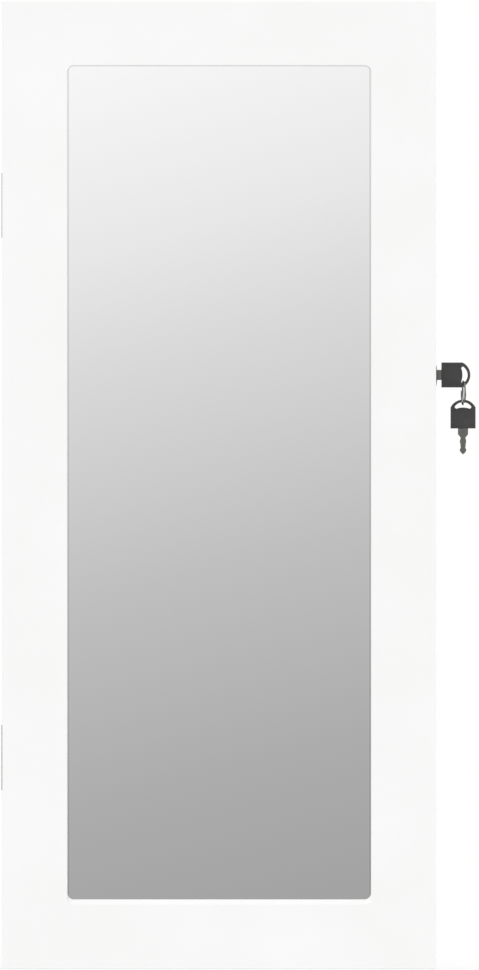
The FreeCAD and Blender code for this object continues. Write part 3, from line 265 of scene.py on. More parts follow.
@dataclass(frozen=True)
class Finish:
    """What a surface is made of. Each kind of finish draws its own detail."""

    name: str
    slot: str
    colour: str
    roughness: float

    def material(self) -> bpy.types.Material:
        """Gives the finish's material, which is built on the first call.

        Returns:
            The material, the same one for every piece.
        """
        made = bpy.data.materials.get(self.name)
        if made is None:
            made = bpy.data.materials.new(self.name)
            made.use_nodes = True
            tree = made.node_tree
            place = add(tree, "ShaderNodeTexCoord").outputs["Object"]
            on = Surface(tree, tree.nodes["Principled BSDF"], place)
            on.takes({"Base Color": linear(self.colour), "Roughness": self.roughness})
            self.detail(on)
        return made

    def detail(self, on: Surface) -> None:
        """Draws what the real surface shows, in each kind of finish's own way."""
        raise NotImplementedError


@dataclass(frozen=True)
class SprayedLacquer(Finish):
    """Two-part satin lacquer sprayed on sanded fibreboard: flat white with a faint orange peel."""

    shade: str = "F8F8F7"
    peel_mm: float = 1.6
    peel_depth_mm: float = 0.012
    drift_mm: float = 60.0

    def detail(self, on: Surface) -> None:
        """Draws the peel of the spray, and a drift of colour too slight to point at.

        Args:
            on: The surface that is drawn.
        """
        on.shaded(on.noise(self.drift_mm, 3.0), self.colour, self.shade, low=0.3, high=0.8)
        on.relief(on.noise(self.peel_mm, 2.0), self.peel_depth_mm)
        on.takes({"Specular IOR Level": 0.4})


@dataclass(frozen=True)
class Pile(Finish):
    """Flock or velvet: short upright fibres, dark face on and paler where the light grazes them."""

    stroked: str = "2A292C"
    fibre_mm: float = 0.35
    patch_mm: float = 14.0
    nap_mm: float = 0.25
    tip_share: float = 0.45  # how much the tips break up the patches
    sheen: float = 0.35
    sheen_roughness: float = 0.4
    sheen_tint: str = "8C8A90"

    def detail(self, on: Surface) -> None:
        """Draws the tips of the fibres, and patches where a hand has turned the pile.

        Args:
            on: The surface that is drawn.
        """
        tips = on.noise(self.fibre_mm, 4.0, Roughness=0.7)
        patches = on.noise(self.patch_mm, 2.0, Distortion=0.6)
        both = add(on.tree, "ShaderNodeMix", {"Factor": self.tip_share, "A": patches, "B": tips},
                   data_type="FLOAT")
        on.shaded(both.outputs["Result"], self.colour, self.stroked, low=0.42, high=0.68)
        on.relief(tips, self.nap_mm, strength=0.6)
        on.takes({"Sheen Weight": self.sheen, "Sheen Roughness": self.sheen_roughness,
                  "Sheen Tint": linear(self.sheen_tint), "Specular IOR Level": 0.1})


@dataclass(frozen=True)
class CellFoam(Finish):
    """Sliced polyurethane foam: small open cells, with painted shade in their hollows and a paler colour on
    their rims.
    """

    # the paler colour of the cells' rims; the finish's own charcoal is painted shade in their hollows
    rim: str = "6A6A6E"
    cell_mm: float = 0.9
    cell_depth_mm: float = 0.3

    def detail(self, on: Surface) -> None:
        """Draws the cells as cut bubbles of uneven size, with painted shade darkening each one's hollow.

        Args:
            on: The surface that is drawn.
        """
        cells = add(on.tree, "ShaderNodeTexVoronoi", {"Vector": on.place, "Scale": per(self.cell_mm)},
                    feature="SMOOTH_F1")
        # painted shade: the colour darkens toward the middle of each cell, where the relief is lowest
        on.shaded(cells.outputs["Distance"], self.colour, self.rim, low=0.3, high=0.8)
        on.relief(cells.outputs["Distance"], self.cell_depth_mm, strength=0.8)


@dataclass(frozen=True)
class PressedBoard(Finish):
    """Hardboard: wood fibre pressed smooth and brown, with darker flecks."""

    fleck: str = "54391F"
    fibre_mm: float = 1.2
    fibre_depth_mm: float = 0.05

    def detail(self, on: Surface) -> None:
        """Draws fibres that lie about at random.

        Args:
            on: The surface that is drawn.
        """
        fibres = on.noise(self.fibre_mm, 6.0, Distortion=1.5)
        on.shaded(fibres, self.colour, self.fleck, low=0.4, high=0.7)
        on.relief(fibres, self.fibre_depth_mm)


@dataclass(frozen=True)
class TurnedTimber(Finish):
    """Beech turned on a lathe: pale, with fine darker rays along the grain."""

    ray: str = "A97B4A"
    ring_mm: float = 1.4
    ring_depth_mm: float = 0.04
    stretch: tuple[float, float, float] = (0.12, 1.0, 1.0)  # drawn out along X, the way that the dowels lie

    def detail(self, on: Surface) -> None:
        """Draws the grain along the dowels.

        Args:
            on: The surface that is drawn.
        """
        drawn_out = add(on.tree, "ShaderNodeMapping", {"Vector": on.place, "Scale": self.stretch})
        grain = on.noise(self.ring_mm, 5.0, Vector=drawn_out.outputs["Vector"])
        on.shaded(grain, self.colour, self.ray, low=0.4, high=0.75)
        on.relief(grain, self.ring_depth_mm)


@dataclass(frozen=True)
class Silvering(Finish):
    """Float glass with a silvered back: a clean reflection, a little dark from the glass."""

    wave_mm: float = 90.0
    wave_depth_mm: float = 0.0006
    reach_mm: float = 105.0  # from the middle to the frame's stiles
    painted_shade_mm: float = 1.3  # width of the painted shade along each stile, standing in for the frame's mirrored inner wall
    painted_shade_full: float = 0.7  # of that width, where the painted shade is full
    # the colour of the painted shade along the stiles
    edge: str = "E1E1E1"

    def detail(self, on: Surface) -> None:
        """Draws the long, shallow waves that the float line leaves, and painted shade along each stile, where
        the frame's inner wall is mirrored.

        Args:
            on: The surface that is drawn.
        """
        across = add(on.tree, "ShaderNodeSeparateXYZ", {"Vector": on.place})
        aside = add(on.tree, "ShaderNodeMath", {0: across.outputs["X"]}, operation="ABSOLUTE")
        # painted shade: the silvering darkens in a band along each stile, in place of the mirrored inner wall
        # of the frame
        painted_shade_mask = add(on.tree, "ShaderNodeMapRange", {
            "Value": aside.outputs[0], "From Min": (self.reach_mm - self.painted_shade_mm) * MM,
            "From Max": (self.reach_mm - self.painted_shade_full * self.painted_shade_mm) * MM,
        })
        on.shaded(painted_shade_mask.outputs["Result"], self.colour, self.edge, low=0.0, high=1.0)
        on.relief(on.noise(self.wave_mm, 0.0), self.wave_depth_mm)
        on.takes({"Metallic": 1.0})


class Working(Enum):
    """How metal was worked: how far its marks are stretched along each axis, and how deep they are in mm."""

    POLISHED = ((1.0, 1.0, 1.0), 0.0004)
    BRUSHED_UP = ((1.0, 1.0, 0.04), 0.004)
    BRUSHED_ACROSS = ((0.04, 1.0, 1.0), 0.004)
    TUMBLED = ((1.0, 1.0, 1.0), 0.006)


@dataclass(frozen=True)
class PlatedMetal(Finish):
    """Plated steel or zinc: a metal's reflection, broken up by how it was worked before plating."""

    working: Working = Working.TUMBLED
    dull: float = 0.5  # the roughness of its duller spots
    mark_mm: float = 0.5

    def detail(self, on: Surface) -> None:
        """Draws the marks of the work, and the duller spots between them.

        Args:
            on: The surface that is drawn.
        """
        stretch, depth_mm = self.working.value
        turned = add(on.tree, "ShaderNodeMapping", {"Vector": on.place, "Scale": stretch})
        marks = on.noise(self.mark_mm, 4.0, Vector=turned.outputs["Vector"])
        gloss = add(on.tree, "ShaderNodeMapRange", {
            "Value": marks, "From Min": 0.3, "From Max": 0.7, "To Min": self.roughness, "To Max": self.dull,
        })
        on.tree.links.new(gloss.outputs["Result"], on.shader.inputs["Roughness"])
        on.relief(marks, depth_mm)
        on.takes({"Metallic": 1.0})


@dataclass(frozen=True)
class MouldedPlastic(Finish):
    """Injection-moulded plastic with the fine spark-eroded grain of its mould."""

    worn: str = "4A4A4A"
    grain_mm: float = 0.22
    grain_depth_mm: float = 0.02
    bloom_mm: float = 7.0

    def detail(self, on: Surface) -> None:
        """Draws the grain, and a paler bloom where fingers have been.

        Args:
            on: The surface that is drawn.
        """
        on.shaded(on.noise(self.bloom_mm, 2.0), self.colour, self.worn, low=0.4, high=0.8)
        on.relief(on.noise(self.grain_mm, 2.0), self.grain_depth_mm, strength=0.7)


@dataclass(frozen=True)
class ClearRubber(Finish):
    """Cast clear polyurethane: soft, slightly milky, and glossy on its dome."""

    milk: str = "DDE0E2"
    cloud_mm: float = 3.0

    def detail(self, on: Surface) -> None:
        """Draws a trace of cloud in the clear.

        Args:
            on: The surface that is drawn.
        """
        on.shaded(on.noise(self.cloud_mm, 1.0), self.colour, self.milk)
        on.takes({"Transmission Weight": 0.75, "IOR": 1.5})


@dataclass(frozen=True)
class GroundFerrite(Finish):
    """Sintered ferrite, ground flat: near black and slightly metallic, with pinholes darkened by painted
    shade.
    """

    painted_pit_shade: str = "1E1E20"
    pit_mm: float = 0.6
    pit_depth_mm: float = 0.03

    def detail(self, on: Surface) -> None:
        """Draws the pinholes between the sintered grains, darkened with painted shade.

        Args:
            on: The surface that is drawn.
        """
        grains = add(on.tree, "ShaderNodeTexVoronoi", {"Vector": on.place, "Scale": per(self.pit_mm)})
        # painted shade: darker toward the edges of the grains, where the pinholes lie
        on.shaded(grains.outputs["Distance"], self.colour, self.painted_pit_shade, low=0.2, high=0.9)
        on.relief(grains.outputs["Distance"], self.pit_depth_mm)
        on.takes({"Metallic": 0.3})


# an even white, with no hot spot where a lamp grazes it
LACQUER = SprayedLacquer("satin lacquer on fibreboard", "painted_fibreboard", "FBFBFB", 0.42)
# pale ends and sides, warmer than anything round them
BEECH = TurnedTimber("turned beech", "beech_dowel", "D2AC78", 0.7)
# a black that stays dull and soft from any side
FLOCK = Pile("flock on card", "flock_lining", "1D1C1F", 0.95, stroked="28272A")
# deeper than the flock, with a paler bloom along its rolls and pleats
CUSHION_VELVET = Pile("cushion velvet", "ring_cushion_velvet", "1C1B1E", 0.9, stroked="343237",
                      fibre_mm=0.3, patch_mm=9.0, sheen=0.6)
# charcoal and grainy, with painted shade in its cells, seen only through the slits
FOAM = CellFoam("open-cell foam", "earring_foam", "3C3C40", 0.9)
# plain brown, seen only edge-on
HARDBOARD = PressedBoard("hardboard", "backing_board", "7B5836", 0.75)
# the room as it is, with painted shade along the stiles for the frame's mirrored inner wall
MIRROR = Silvering("silvered float glass", "silvered_glass", "F7F7F7", 0.0)
# cool and a little cloudy
ZINC = PlatedMetal("bright zinc plate", "zinc_steel", "C9CCD0", 0.32, dull=0.45)
# warmer than zinc, with fine upright streaks
NICKEL = PlatedMetal("nickel plate", "nickel_hinge", "DDDBD6", 0.22, Working.BRUSHED_UP, dull=0.34)
# bright, with crisp dark and light bands
CHROME = PlatedMetal("chrome on die-cast zinc", "chromed_lock", "E4E6E8", 0.06, Working.POLISHED,
                     dull=0.12, mark_mm=4.0)
# greyer than the plates, with blurred lights
CAM_ZINC = PlatedMetal("zinc plate on stamped steel", "cam_steel", "C4C6C6", 0.34, dull=0.5)
# clean long highlights along the rods and hooks
POLISHED_NICKEL = PlatedMetal("polished nickel plate", "polished_rod", "D9D8D4", 0.08, Working.POLISHED,
                              dull=0.16, mark_mm=3.0)
# small bright points that the cross breaks up
SCREW_ZINC = PlatedMetal("zinc plate on screws", "screw_steel", "CACCCE", 0.3, dull=0.42)
# a greyer white than the lacquer, with a duller gloss
WHITE_PLASTIC = MouldedPlastic("white moulded ABS", "catch_plastic", "E9E9E6", 0.45, worn="E2E2DE")
# a dark, flat block in the white catch
FERRITE = GroundFerrite("ground ferrite", "ferrite_magnet", "3A3A3D", 0.55)
# a drop of milky clear
BUMPER_CLEAR = ClearRubber("clear cast polyurethane", "clear_rubber", "EEF1F2", 0.12)
# black, and glossier than the flock behind it
BAR_PLASTIC = MouldedPlastic("black moulded ABS", "bar_plastic", "161617", 0.4, worn="1F1F20")
# charcoal, without a highlight
GRIP_PLASTIC = MouldedPlastic("charcoal moulded grip", "key_plastic", "353535", 0.5, worn="3B3B3B")
# a dull, warm grey
KEY_METAL = PlatedMetal("nickel plate on key brass", "key_steel", "777773", 0.3, Working.BRUSHED_ACROSS,
                        dull=0.42, mark_mm=0.3)
# brighter than the blades, with a light line along the wire
RING_METAL = PlatedMetal("nickel plate on spring steel", "key_steel", "878784", 0.2, Working.POLISHED,
                         dull=0.26, mark_mm=2.0)


def wear(finish: Finish, *nodes: str) -> None:
    """Gives construction pieces their finish.

    Args:
        finish: What they are made of.
        nodes: Their names.
    """
    for name in nodes:
        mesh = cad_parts[name].data
        mesh.materials.clear()
        mesh.materials.append(finish.material())
        log.info("%s: %s", name, finish.name)


# ---- studio


def seen_straight(tree: Tree) -> Socket:
    """Picks out what the camera sees, straight or through a clear piece.

    Args:
        tree: A tree of the world or of a material.

    Returns:
        An output that is 1 there and 0 elsewhere.
    """
    light_path = add(tree, "ShaderNodeLightPath").outputs
    return reckon(tree, "MAXIMUM", light_path["Is Camera Ray"], light_path["Is Transmission Ray"])


@dataclass
class Studio:
    """The camera, the light, the floor and what polished pieces see around them."""

    camera_distance: float = 5.0
    camera_x: float = 0.01404
    picture_height: float = 0.67066  # what the picture spans at the door's face
    sensor: float = 36.0
    clip_end: float = 100.0
    floor_drop: float = 0.06
    floor_size: float = 30.0
    floor_paper: str = "F4F4F4"
    fade_start: float = 0.35  # from the cabinet's middle, where the floor's shadow starts to fade
    fade_end: float = 1.0
    ambient: float = 0.76
    key_strength: float = 0.77
    key_turn: tuple[float, float] = (50.0, -14.0)  # degrees from overhead, and to the left
    fill_strength: float = 0.8
    fill_turn: tuple[float, float] = (127.0, 90.0)  # from the right, a little from below, off the paper
    lamp_spread: float = 40.0  # degrees
    tilt: float = 0.27  # how far the reflected room darkens sideways for each step that it darkens downwards
    sideways: float = 0.07  # from straight ahead, how far to the side the reflected room goes on darkening
    # the reflected room, from the floor up: direction, then its tone
    room: tuple[tuple[float, str], ...] = (
        (-0.5, "9A9A9A"), (-0.06, "A8A8A8"), (-0.04, "B1B1B1"), (-0.0114, "C4C4C4"), (0.0218, "E0E0E0"),
        (0.0377, "EFEFEF"), (0.0626, "FEFEFE"), (0.6, "FFFFFF"),
    )

    def build(self) -> None:
        """Sets up everything that isn't part of the object."""
        self.add_camera()
        self.add_world()
        self.add_lamp("key", self.key_strength, self.key_turn)
        self.add_lamp("fill", self.fill_strength, self.fill_turn)
        self.add_floor()
        bpy.context.scene.view_settings.view_transform = "Standard"

    def add_camera(self) -> None:
        """Adds the camera: straight on, level with the cabinet's middle, from far off."""
        data = bpy.data.cameras.new("camera")
        data.sensor_width = self.sensor
        data.lens = self.sensor * self.camera_distance / self.picture_height
        data.clip_end = self.clip_end
        camera = bpy.data.objects.new("camera", data)
        bpy.context.scene.collection.objects.link(camera)
        camera.location = (self.camera_x, CAD_BOX[0].y - self.camera_distance, 0.0)
        camera.rotation_euler = (math.pi / 2, 0.0, 0.0)
        bpy.context.scene.camera = camera

    def add_world(self) -> None:
        """Adds the world: white to the camera, plain soft light, and a shaded room to anything polished."""
        world = bpy.data.worlds.new("studio")
        bpy.context.scene.world = world
        world.use_nodes = True
        tree = world.node_tree
        tree.nodes.clear()
        way = add(tree, "ShaderNodeTexCoord").outputs["Generated"]
        near = add(tree, "ShaderNodeVectorMath", {0: way, 1: (self.sideways, 1.0, 1.0)}, operation="MINIMUM")
        held = add(tree, "ShaderNodeVectorMath", {0: near.outputs[0], 1: (-self.sideways, -1.0, -1.0)},
                   operation="MAXIMUM")
        lean = add(tree, "ShaderNodeVectorMath", {0: held.outputs[0], 1: (-self.tilt, 0.0, 1.0)},
                   operation="DOT_PRODUCT")
        low, high = self.room[0][0], self.room[-1][0]
        along = add(tree, "ShaderNodeMapRange",
                    {"Value": lean.outputs["Value"], "From Min": low, "From Max": high})
        ramp = add(tree, "ShaderNodeValToRGB", {"Fac": along.outputs["Result"]})
        stops = ramp.color_ramp.elements
        while len(stops) < len(self.room):
            stops.new(0.5)
        for stop, (height, tone) in zip(stops, self.room):
            stop.position = (height - low) / (high - low)
            stop.color = linear(tone)
        soft, room, white = (
            add(tree, "ShaderNodeBackground", {"Color": colour, "Strength": strength}).outputs[0]
            for colour, strength in ((WHITE, self.ambient), (ramp.outputs["Color"], 1.0), (WHITE, 1.0))
        )
        glossy = add(tree, "ShaderNodeLightPath").outputs["Is Glossy Ray"]
        polished = add(tree, "ShaderNodeMixShader", {0: glossy, 1: soft, 2: room})
        whole = add(tree, "ShaderNodeMixShader", {0: seen_straight(tree), 1: polished.outputs[0], 2: white})
        add(tree, "ShaderNodeOutputWorld", {"Surface": whole.outputs[0]})

    def add_lamp(self, name: str, strength: float, turn: tuple[float, float]) -> None:
        """Adds a wide, soft light from far off.

        Args:
            name: What the lamp is called.
            strength: How strong it is.
            turn: Degrees that it is tipped from overhead, and then turned about the vertical.
        """
        data = bpy.data.lights.new(name, "SUN")
        data.energy = strength
        data.angle = math.radians(self.lamp_spread)
        lamp = bpy.data.objects.new(name, data)
        bpy.context.scene.collection.objects.link(lamp)
        lamp.rotation_euler = (math.radians(turn[0]), 0.0, math.radians(turn[1]))

    def add_floor(self) -> None:
        """Adds a pale floor that keeps the shadow near the cabinet and is white further off."""
        half = self.floor_size / 2
        level = CAD_BOX[0].z - self.floor_drop
        mesh = bpy.data.meshes.new("floor")
        mesh.from_pydata(
            [(-half, -half, level), (half, -half, level), (half, half, level), (-half, half, level)],
            [], [(0, 1, 2, 3)],
        )
        floor = piece_of("floor", mesh)
        floor.visible_glossy = False
        floor.visible_shadow = False  # the fill comes up past it
        paper = bpy.data.materials.new("paper floor")
        paper.use_nodes = True
        tree = paper.node_tree
        tree.nodes.clear()
        place = add(tree, "ShaderNodeTexCoord").outputs["Object"]
        flat = add(tree, "ShaderNodeVectorMath", {0: place, 1: (1.0, 1.0, 0.0)}, operation="MULTIPLY")
        away = add(tree, "ShaderNodeVectorMath", {0: flat.outputs[0]}, operation="LENGTH")
        fade = add(tree, "ShaderNodeMapRange",
                   {"Value": away.outputs["Value"], "From Min": self.fade_start, "From Max": self.fade_end},
                   interpolation_type="SMOOTHSTEP")
        share = reckon(tree, "MULTIPLY", seen_straight(tree), fade.outputs["Result"])
        paint = add(tree, "ShaderNodeBsdfDiffuse", {"Color": linear(self.floor_paper)})
        white = add(tree, "ShaderNodeEmission", {"Color": WHITE, "Strength": 1.0})
        whole = add(tree, "ShaderNodeMixShader", {0: share, 1: paint.outputs[0], 2: white.outputs[0]})
        add(tree, "ShaderNodeOutputMaterial", {"Surface": whole.outputs[0]})
        mesh.materials.append(paper)


# ---- screws


@dataclass
class ScrewSite:
    """Where one screw sits: the middle of its head's face, the way that faces, and its sizes."""

    place: Vector
    faces: Vector
    head: float
    shank: float
    length: float


def solids_in(node: str) -> list[list[Vector]]:
    """Splits a construction piece into its separate solids.

    Args:
        node: The piece's name.

    Returns:
        For each solid, its corners.
    """
    work = bmesh.new()
    work.from_mesh(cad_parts[node].data)
    bmesh.ops.remove_doubles(work, verts=work.verts, dist=0.001 * MM)
    found, seen = [], set()
    for start in work.verts:
        if start in seen:
            continue
        seen.add(start)
        solid, front = [], [start]
        while front:
            vert = front.pop()
            solid.append(vert.co.copy())
            for edge in vert.link_edges:
                other = edge.other_vert(vert)
                if other not in seen:
                    seen.add(other)
                    front.append(other)
        found.append(solid)
    work.free()
    return found


def screw_site(corners: list[Vector]) -> ScrewSite:
    """Reads where a plain screw sits, and its sizes.

    Args:
        corners: The plain screw's corners.

    Returns:
        Its place, direction and sizes.
    """
    low = Vector([min(c[axis] for c in corners) for axis in range(3)])
    high = Vector([max(c[axis] for c in corners) for axis in range(3)])
    size = high - low
    along = max(range(3), key=lambda axis: size[axis])
    middle = (low + high) / 2

    def off_axis(corner: Vector) -> float:
        """Gives how far a corner is from the screw's axis.

        Args:
            corner: The corner.

        Returns:
            Its distance.
        """
        across = corner - middle
        across[along] = 0.0
        return across.length

    rim = max(corners, key=off_axis)
    way = 1.0 if rim[along] > middle[along] else -1.0
    tip_end = low[along] if way > 0 else high[along]
    shank = max(off_axis(c) for c in corners if abs(c[along] - tip_end) < 0.01 * MM)
    faces = Vector((0, 0, 0))
    faces[along] = way
    place = middle.copy()
    place[along] = high[along] if way > 0 else low[along]
    return ScrewSite(place, faces, off_axis(rim), shank, size[along])


def raised(tree: Tree, geometry: Socket, height: Socket) -> Socket:
    """Moves geometry along the screw's axis.

    Args:
        tree: The screws' tree.
        geometry: What is moved.
        height: How far it is moved up.

    Returns:
        The moved geometry.
    """
    way = add(tree, "ShaderNodeCombineXYZ", {"Z": height}).outputs[0]
    return add(tree, "GeometryNodeTransform", {"Geometry": geometry, "Translation": way}).outputs[0]


@dataclass
class CrossHeadScrews:
    """Countersunk wood screws with a cross recess and a rolled thread, one for each plain screw."""

    recess_reach: float = 0.6  # of the head's radius, from the middle to the end of an arm
    recess_width: float = 0.24  # of the head's radius
    recess_depth: float = 0.5  # of the head's radius
    thread_pitch: float = 1.1 * MM
    thread_depth: float = 0.18  # of the shank's radius
    tip_blunt: float = 0.05 * MM
    head_sides: int = 28
    shank_sides: int = 12
    turn_steps: int = 12
    ridge_sides: int = 3
    tree: Tree = field(init=False)

    def __post_init__(self) -> None:
        """Builds the node tree that makes the screws."""
        self.tree = self.screw_tree()

    def screw_tree(self) -> Tree:
        """Builds the tree: a screw from its sizes, set on each point and turned as the point says.

        Returns:
            The node tree.
        """
        tree, given = growing_tree("cross-head screws", dict.fromkeys(
            ("Head Radius", "Shank Radius", "Length", "Pitch"), "Float"))
        head, shank = given["Head Radius"], given["Shank Radius"]
        taper = reckon(tree, "SUBTRACT", head, shank)
        screw = add(tree, "GeometryNodeJoinGeometry")
        parts = self.shank_parts(tree, shank, taper, given["Length"], given["Pitch"])
        for part in (self.head_part(tree, head, shank, taper), *parts):
            tree.links.new(part, screw.inputs["Geometry"])
        facing = add(tree, "GeometryNodeInputNamedAttribute", {"Name": "faces"}, data_type="FLOAT_VECTOR")
        turned = add(tree, "FunctionNodeAlignRotationToVector",
                     {"Vector": facing.outputs["Attribute"]}, axis="Z")
        placed = add(tree, "GeometryNodeInstanceOnPoints", {
            "Points": given["Geometry"], "Instance": screw.outputs[0], "Rotation": turned.outputs["Rotation"],
        })
        real = add(tree, "GeometryNodeRealizeInstances", {"Geometry": placed.outputs[0]})
        dressed = add(tree, "GeometryNodeSetMaterial",
                      {"Geometry": real.outputs[0], "Material": given["Material"]})
        add(tree, "NodeGroupOutput", {"Geometry": dressed.outputs[0]})
        return tree

    def head_part(self, tree: Tree, head: Socket, shank: Socket, taper: Socket) -> Socket:
        """Makes the countersunk head, its face at height 0, with the cross cut into it.

        Args:
            tree: The screws' tree.
            head: The head's radius.
            shank: The shank's radius.
            taper: How deep the head is.

        Returns:
            The head's geometry.
        """
        drop = reckon(tree, "MULTIPLY", taper, -1.0)
        cone = add(tree, "GeometryNodeMeshCone", {
            "Vertices": self.head_sides, "Radius Top": head, "Radius Bottom": shank, "Depth": taper,
        })
        cut = add(tree, "GeometryNodeMeshBoolean", {"Mesh 1": raised(tree, cone.outputs["Mesh"], drop)},
                  operation="DIFFERENCE")
        arm_length, arm_width = self.recess_reach * 2, self.recess_width
        for across, along in ((arm_length, arm_width), (arm_width, arm_length)):
            arm_size = add(tree, "ShaderNodeVectorMath",
                           {0: (across, along, self.recess_depth), "Scale": head}, operation="SCALE")
            arm = add(tree, "GeometryNodeMeshCube", {"Size": arm_size.outputs[0]})
            tree.links.new(arm.outputs["Mesh"], cut.inputs["Mesh 2"])
        return cut.outputs["Mesh"]

    def shank_parts(self, tree: Tree, shank: Socket, taper: Socket, length: Socket,
                    pitch: Socket) -> list[Socket]:
        """Makes the core under the head, ending in a point, and the thread round it.

        Args:
            tree: The screws' tree.
            shank: The shank's radius.
            taper: How deep the head is.
            length: From the head's face to the tip.
            pitch: Between turns of the thread.

        Returns:
            The tip's, the core's and the thread's geometry.
        """
        core = reckon(tree, "MULTIPLY", shank, 1 - self.thread_depth)
        bare = reckon(tree, "SUBTRACT", length, taper)
        straight = reckon(tree, "SUBTRACT", bare, shank)
        foot = reckon(tree, "MULTIPLY", length, -1.0)
        start = reckon(tree, "ADD", foot, shank)
        tip = add(tree, "GeometryNodeMeshCone", {
            "Vertices": self.shank_sides, "Radius Top": core, "Radius Bottom": self.tip_blunt, "Depth": shank,
        })
        rod = add(tree, "GeometryNodeMeshCone", {
            "Vertices": self.shank_sides, "Radius Top": core, "Radius Bottom": core, "Depth": straight,
        })
        winding = add(tree, "GeometryNodeCurveSpiral", {
            "Resolution": self.turn_steps, "Rotations": reckon(tree, "DIVIDE", straight, pitch),
            "Start Radius": core, "End Radius": core, "Height": straight,
        })
        ridge = add(tree, "GeometryNodeCurvePrimitiveCircle", {
            "Resolution": self.ridge_sides, "Radius": reckon(tree, "SUBTRACT", shank, core),
        }, mode="RADIUS")
        thread = add(tree, "GeometryNodeCurveToMesh", {
            "Curve": winding.outputs["Curve"], "Profile Curve": ridge.outputs["Curve"], "Fill Caps": True,
        })
        return [raised(tree, made.outputs["Mesh"], height)
                for made, height in ((tip, foot), (rod, start), (thread, start))]

    def drive(self, node: str, body: str, finish: Finish) -> None:
        """Puts detailed screws in place of a construction piece's plain ones.

        Args:
            node: The construction piece.
            body: The body that it is on.
            finish: The screws' metal.
        """
        sites = [screw_site(solid) for solid in solids_in(node)]
        mesh = bpy.data.meshes.new(node + "_detail")
        mesh.from_pydata([site.place for site in sites], [], [])
        faces = mesh.attributes.new("faces", "FLOAT_VECTOR", "POINT")
        for number, site in enumerate(sites):
            faces.data[number].vector = site.faces
        piece = piece_of(node + "_detail", mesh)
        grow(piece, self.tree, {
            "Head Radius": sites[0].head, "Shank Radius": sites[0].shank, "Length": sites[0].length,
            "Pitch": self.thread_pitch, "Material": finish.material(),
        })
        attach(piece, body)
        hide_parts(node)
        log.info("%s: %d screws", node, len(sites))


# ---- padded pieces


# How the velvet cover behaves while it fills.
COVER_CLOTH = {
    "quality": 6, "mass": 0.2, "tension_stiffness": 18, "compression_stiffness": 6, "shear_stiffness": 6,
    "bending_stiffness": 0.4, "use_pressure": True, "uniform_pressure_force": 4.0,
}


